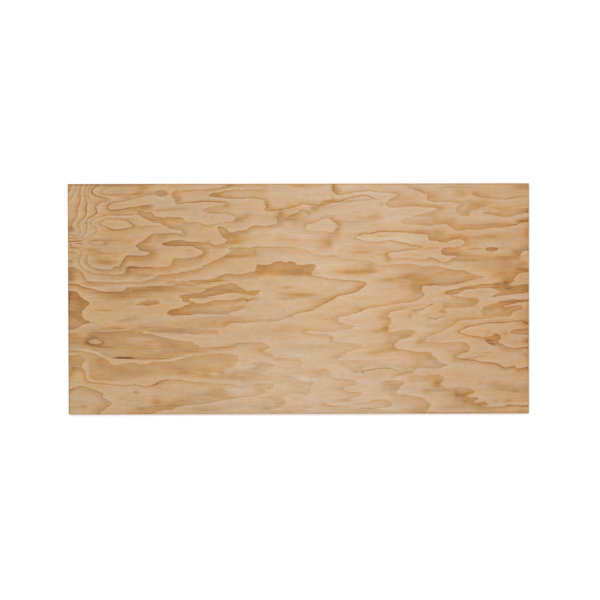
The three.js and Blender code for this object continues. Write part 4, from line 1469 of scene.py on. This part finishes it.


# From the palest spring wood to the darkest latewood and resin. The darkest shade also gives the painted
# shade along the split.
PEELED_PINE_SHADES = ((-0.10, "#d7bea2"), (0.00, "#d4b99c"), (0.13, "#d0b08d"), (0.30, "#caa57c"),
                      (0.42, "#c69e70"), (0.55, "#c09562"), (0.70, "#bb8b55"), (0.88, "#b28048"),
                      (1.00, "#a9743c"), (1.30, "#905a2b"), (1.90, "#5e3922"))
PINE_IOR = 1.5
PINE_ROUGHNESS = (0.52, 0.72)  # of its smoothest and its most torn fibres
PINE_GLOSS = 0.25  # open fibres scatter half of what a smooth surface would mirror

peeled_pine, tree = bare_material("peeled_pine_face")
place = add_node(tree, "TexCoord").outputs["Object"]
pale_side, brown_side, ring_edge, line_tone, line_crossing, fullness = (
    add_node(tree, "Attribute", attribute_name=name).outputs["Fac"]
    for name in ("on_pale", "on_brown", "edge_distance", "latewood", "crossing", "colour_fullness"))

# Fibres lift and tear where a ring ends, so its line wanders by a millimetre or two. Where it crosses the
# grain it is torn into steps along the fibres, several times as deep.
RAGGED, STEPPED = 10, 34
LINE_SOFTNESS = 1.3
ragged = grain_pattern(long=20, wide=4, detail=4.0, roughness=0.65)
torn = grain_pattern(long=90, wide=7, detail=3.0, roughness=0.6)
steps = add_node(tree, "Math", {0: torn, 1: 0.5}, operation="SUBTRACT")
step_depth = add_node(tree, "Math", {0: line_crossing, 1: STEPPED}, operation="MULTIPLY")
stepped = add_node(tree, "Math", {0: steps, 1: step_depth, 2: ring_edge}, operation="MULTIPLY_ADD")
shifted = add_node(tree, "Math", {0: ragged, 1: RAGGED, 2: stepped}, operation="MULTIPLY_ADD")
past_line = add_node(tree, "MapRange", {"Value": shifted, "From Min": RAGGED / 2 - LINE_SOFTNESS,
                                        "From Max": RAGGED / 2 + LINE_SOFTNESS},
                     interpolation_type="SMOOTHSTEP")
sides = add_node(tree, "Mix", {0: past_line, 2: pale_side, 3: brown_side})

# The latewood itself is a thin dark line on the brown side.
LATEWOOD_FROM, LATEWOOD_TO = 2.0, 10.5
beyond = add_node(tree, "MapRange", {"Value": shifted, "From Min": RAGGED / 2 + LATEWOOD_FROM,
                                     "From Max": RAGGED / 2 + LATEWOOD_TO, "To Min": 1.0, "To Max": 0.0},
                  interpolation_type="SMOOTHSTEP")
in_line = add_node(tree, "Math", {0: past_line, 1: beyond}, operation="MULTIPLY")
ring_tone = add_node(tree, "Math", {0: in_line, 1: line_tone, 2: sides}, operation="MULTIPLY_ADD")

# Long streaks of denser fibre, strongest in the brown wood, then mottle, flecks, checks, fibres and resin.
# The finest fibres are 0.05 mm wide in the real wood: they are drawn 0.5 mm wide, to show from near by.
STREAKS, STREAKS_IN_BROWN = 0.25, 0.90
MOTTLE, FLECKS, CHECKS, FIBRES, RESIN = 0.30, 0.35, 0.30, 0.30, 0.22
RESIN_FROM, RESIN_TO = 0.66, 0.76  # where in its pattern resin starts to show, and where it is full
dense = grain_pattern(long=140, wide=6, detail=4.0, roughness=0.6)
streaks = add_node(tree, "Math", {0: dense, 1: 0.5}, operation="SUBTRACT")
strength = add_node(tree, "Math", {0: ring_tone, 1: STREAKS_IN_BROWN, 2: STREAKS}, operation="MULTIPLY_ADD")
tone = add_node(tree, "Math", {0: streaks, 1: strength, 2: ring_tone}, operation="MULTIPLY_ADD")
fibres = grain_pattern(long=16, wide=0.5, detail=3.0)
veins = grain_pattern(long=26, wide=1.1)
resin = add_node(tree, "MapRange", {"Value": veins, "From Min": RESIN_FROM, "From Max": RESIN_TO})
for marks, share in ((grain_pattern(long=190, wide=30, detail=3.0), MOTTLE),
                     (grain_pattern(long=38, wide=11, detail=3.0, roughness=0.6), FLECKS),
                     (grain_pattern(long=5, wide=13, detail=3.0, roughness=0.6), CHECKS),
                     (fibres, FIBRES), (resin, RESIN)):
    tone = add_node(tree, "Math", {0: marks, 1: share, 2: tone}, operation="MULTIPLY_ADD")

added = (MOTTLE + FLECKS + CHECKS + FIBRES) / 2
palest, darkest = PEELED_PINE_SHADES[0][0], PEELED_PINE_SHADES[-1][0]
shade_place = add_node(tree, "MapRange", {"Value": tone, "From Min": palest + added,
                                          "From Max": darkest + added})
shades = add_node(tree, "ValToRGB", {0: shade_place})
set_shades(shades, PEELED_PINE_SHADES)

# Wood that holds resin is redder and more colourful than dry wood as dark, in patches of every size. The hue
# drifts by itself as well, from pinkish to yellowish, and is a little redder towards the right end.
RESIN_PATCHES, RESIN_REDDER = 1.10, 0.025
PINKISH, YELLOWISH = 0.479, 0.523  # where 0.5 is the hue of the shade itself
RIGHT_REDDER = 0.002  # for each metre along the sheet, from its middle
soaked = grain_pattern(long=160, wide=50, detail=6.0, roughness=0.75)
patches = add_node(tree, "Math", {0: soaked, 1: 0.5}, operation="SUBTRACT")
fullness = add_node(tree, "Math", {0: patches, 1: RESIN_PATCHES, 2: fullness}, operation="MULTIPLY_ADD")
as_grey = add_node(tree, "RGBToBW", {0: shades})
full_colour = add_node(tree, "Mix", {0: fullness, 6: as_grey, 7: shades}, data_type="RGBA",
                       clamp_factor=False).outputs[2]
drift = grain_pattern(long=110, wide=45, detail=5.0, roughness=0.7)
hue = add_node(tree, "MapRange", {"Value": drift, "To Min": PINKISH, "To Max": YELLOWISH})
hue = add_node(tree, "Math", {0: patches, 1: -RESIN_REDDER, 2: hue}, operation="MULTIPLY_ADD")
along_sheet = add_node(tree, "SeparateXYZ", {0: place})
hue = add_node(tree, "Math", {0: along_sheet, 1: -RIGHT_REDDER, 2: hue}, operation="MULTIPLY_ADD")
wood_colour = add_node(tree, "HueSaturation", {"Hue": hue, "Color": full_colour})

FIBRE_RELIEF, FIBRES_IN_RELIEF = 0.12, 0.5  # mm, and the fibres' share beside the streaks
matt = add_node(tree, "MapRange", {"Value": fibres, "To Min": PINE_ROUGHNESS[0], "To Max": PINE_ROUGHNESS[1]})
relief = add_node(tree, "Math", {0: fibres, 1: FIBRES_IN_RELIEF, 2: streaks}, operation="MULTIPLY_ADD")
bumps = add_node(tree, "Bump", {"Height": relief, "Distance": FIBRE_RELIEF * MM})
surface = add_node(tree, "BsdfPrincipled", {"Base Color": wood_colour, "Roughness": matt, "IOR": PINE_IOR,
                                            "Specular IOR Level": PINE_GLOSS, "Normal": bumps})
add_node(tree, "OutputMaterial", {"Surface": surface})
sheet_mesh.materials.append(peeled_pine)


# ---- The back veneer: its finish ----
# The back is peeled pine as well, of a plainer grade. Its rings are long and even, and it is left as rough
# as the knife cut it, so its grain stands out more in relief than the face's.

RING_WIDTH = 115  # mm between ring lines across the back, on average
RING_WANDER = 4.6  # how many ring widths a line may stray
RING_RAGGED, BACK_STREAKS = 0.06, 0.5  # in ring widths too
KNIFE_ROUGHNESS = 0.72
KNIFE_RELIEF = 0.3  # mm
BACK_SHADES = ((0.00, "#ad7f50"), (0.10, "#ba8f60"), (0.35, "#c6a077"), (0.70, "#cfaf8a"), (1.00, "#d4b694"))
knife_rough_pine, tree = bare_material("knife_rough_pine_back")
place = add_node(tree, "TexCoord").outputs["Object"]
up_back = add_node(tree, "SeparateXYZ", {0: place}).outputs["Y"]
warp = grain_pattern(long=1000, wide=210, detail=3.0, roughness=0.4)
wander = add_node(tree, "Math", {0: warp, 1: RING_WANDER}, operation="MULTIPLY")
count = add_node(tree, "Math", {0: up_back, 1: 1 / (RING_WIDTH * MM), 2: wander}, operation="MULTIPLY_ADD")
tearing = grain_pattern(long=30, wide=5, detail=4.0)
torn_count = add_node(tree, "Math", {0: tearing, 1: RING_RAGGED, 2: count}, operation="MULTIPLY_ADD")
through_ring = add_node(tree, "Math", {0: torn_count}, operation="FRACT")
dense = grain_pattern(long=170, wide=3.2, detail=4.0, roughness=0.6)
streaks = add_node(tree, "Math", {0: dense, 1: 0.5}, operation="SUBTRACT")
tone = add_node(tree, "Math", {0: streaks, 1: BACK_STREAKS, 2: through_ring}, operation="MULTIPLY_ADD",
                use_clamp=True)
shades = add_node(tree, "ValToRGB", {0: tone})
set_shades(shades, BACK_SHADES)
fibres = grain_pattern(long=24, wide=0.9, detail=4.0)
bumps = add_node(tree, "Bump", {"Height": fibres, "Distance": KNIFE_RELIEF * MM})
surface = add_node(tree, "BsdfPrincipled", {"Base Color": shades, "Roughness": KNIFE_ROUGHNESS,
                                            "IOR": PINE_IOR, "Normal": bumps})
add_node(tree, "OutputMaterial", {"Surface": surface})
sheet_mesh.materials.append(knife_rough_pine)


# ---- The sawn edges: their finish ----
# A circular saw cuts plies along the grain to pale streaked stripes, and plies across it to darker, speckled
# end grain. The hardened glue between them is a thin dark line.

SAW_RELIEF = 0.2  # mm
PALE_FROM, BROWN_TO = 0.3, 0.7  # where in the grain's pattern the wood is palest, and brownest
# Each has a name, the length and thickness of its marks in mm, its roughness, and its pale and brown colours.
SAWN_PLIES = (("sawn_side_grain_pine", (70, 0.9), 0.60, "#d6b58a", "#b98c5c"),
              ("sawn_end_grain_pine", (1.6, 0.8), 0.78, "#b98f62", "#8a6240"),
              ("hardened_phenolic_glue", (9, 0.3), 0.50, "#5b3b28", "#3e271b"))
for name, (long, thick), roughness, pale, brown in SAWN_PLIES:
    sawn_ply, tree = bare_material(name)
    place = add_node(tree, "TexCoord").outputs["Object"]
    grain = grain_pattern(long, long, thick, detail=4.0, roughness=0.6)
    share = add_node(tree, "MapRange", {"Value": grain, "From Min": PALE_FROM, "From Max": BROWN_TO})
    colour = add_node(tree, "Mix", {0: share, 6: linear(pale), 7: linear(brown)}, data_type="RGBA")
    bumps = add_node(tree, "Bump", {"Height": grain, "Distance": SAW_RELIEF * MM})
    surface = add_node(tree, "BsdfPrincipled", {"Base Color": colour.outputs[2], "Roughness": roughness,
                                                "IOR": PINE_IOR, "Normal": bumps})
    add_node(tree, "OutputMaterial", {"Surface": surface})
    sheet_mesh.materials.append(sawn_ply)


# ---- The floor ----
# A plain matt white floor, on which the sheet lies. To the camera it is pure white, apart from the sheet's
# soft shadow, and it throws a little less than white light back.

FLOOR_SIZE = 40  # metres
WHITE, FLOOR_SHADE = "#ffffff", "#dcdcdc"
FLOOR_GLOW = 0.09  # what the camera sees on top of the light that falls on the floor
corners = [(x * FLOOR_SIZE / 2, y * FLOOR_SIZE / 2, low.z) for x, y in ((-1, -1), (1, -1), (1, 1), (-1, 1))]
floor_mesh = bpy.data.meshes.new("floor")
floor_mesh.from_pydata(corners, [], [(0, 1, 2, 3)])
floor = bpy.data.objects.new("floor", floor_mesh)
bpy.context.scene.collection.objects.link(floor)
matt_floor, tree = bare_material("matt_white_floor")
ray = add_node(tree, "LightPath").outputs
seen = add_node(tree, "Math", {0: ray["Is Camera Ray"], 1: ray["Is Glossy Ray"]}, operation="MAXIMUM")
seen = add_node(tree, "Math", {0: seen, 1: ray["Is Transmission Ray"]}, operation="MAXIMUM")
colour = add_node(tree, "Mix", {0: seen, 6: linear(FLOOR_SHADE), 7: linear(WHITE)}, data_type="RGBA")
lit = add_node(tree, "BsdfDiffuse", {"Color": colour.outputs[2]})
glow = add_node(tree, "Math", {0: seen, 1: FLOOR_GLOW}, operation="MULTIPLY")
lift = add_node(tree, "Emission", {"Color": linear(WHITE), "Strength": glow})
surface = add_node(tree, "AddShader", {0: lit, 1: lift})
add_node(tree, "OutputMaterial", {"Surface": surface})
floor_mesh.materials.append(matt_floor)


# ---- Light and camera ----
# Even studio light: a white room, with one large soft lamp above and to the far left. The camera hangs over
# the middle of the sheet and looks almost straight down, with +Y up in its picture.

ROOM_LIGHT, LAMP_SHARE = 0.60, 0.40  # together, the light that shows a colour as written
LAMP_PLACE = (-0.28, 0.34, 1.0)  # the way to the lamp
LAMP_SPREAD = 50  # degrees across, as seen from the sheet
world = bpy.data.worlds.new("white_room")
world.use_nodes = True
tree = world.node_tree
tree.nodes.clear()
ray = add_node(tree, "LightPath").outputs
strength = add_node(tree, "MapRange", {"Value": ray["Is Camera Ray"], "To Min": ROOM_LIGHT, "To Max": 1.0})
room = add_node(tree, "Background", {"Color": linear(WHITE), "Strength": strength})
add_node(tree, "OutputWorld", {"Surface": room})
bpy.context.scene.world = world

lamp_data = bpy.data.lights.new("soft_lamp", "SUN")
lamp_data.angle = math.radians(LAMP_SPREAD)
distance = math.hypot(*LAMP_PLACE)
lamp_data.energy = LAMP_SHARE * math.pi / (LAMP_PLACE[2] / distance)
lamp = bpy.data.objects.new("soft_lamp", lamp_data)
bpy.context.scene.collection.objects.link(lamp)
lamp.location = LAMP_PLACE
lamp.rotation_euler = (0, math.acos(LAMP_PLACE[2] / distance), math.atan2(LAMP_PLACE[1], LAMP_PLACE[0]))

PICTURE = 600  # pixels across
SHEET_IN_PICTURE = 460.7  # pixels from end to end of the sheet
MIDDLE_IN_PICTURE = (298.7, 298.95)  # where the middle of the sheet lies, from the upper left
ROLL = 0.13  # degrees that the sheet is turned anticlockwise
LEAN = (-0.85, -0.40)  # degrees by which the camera looks past straight down, about X and Y
LENS, SENSOR = 85, 36  # mm
camera_data = bpy.data.cameras.new("camera")
camera_data.lens = LENS
camera_data.sensor_width = SENSOR
camera = bpy.data.objects.new("camera", camera_data)
bpy.context.scene.collection.objects.link(camera)
pixel = LENGTH * MM / SHEET_IN_PICTURE
height = PICTURE * pixel * LENS / SENSOR
lean_x, lean_y = (math.radians(angle) for angle in LEAN)
camera.location = ((PICTURE / 2 - MIDDLE_IN_PICTURE[0]) * pixel + height * math.tan(lean_y),
                   (MIDDLE_IN_PICTURE[1] - PICTURE / 2) * pixel - height * math.tan(lean_x), high.z + height)
camera.rotation_euler = (lean_x, lean_y, -math.radians(ROLL))
bpy.context.scene.camera = camera
bpy.context.scene.view_settings.view_transform = "Standard"
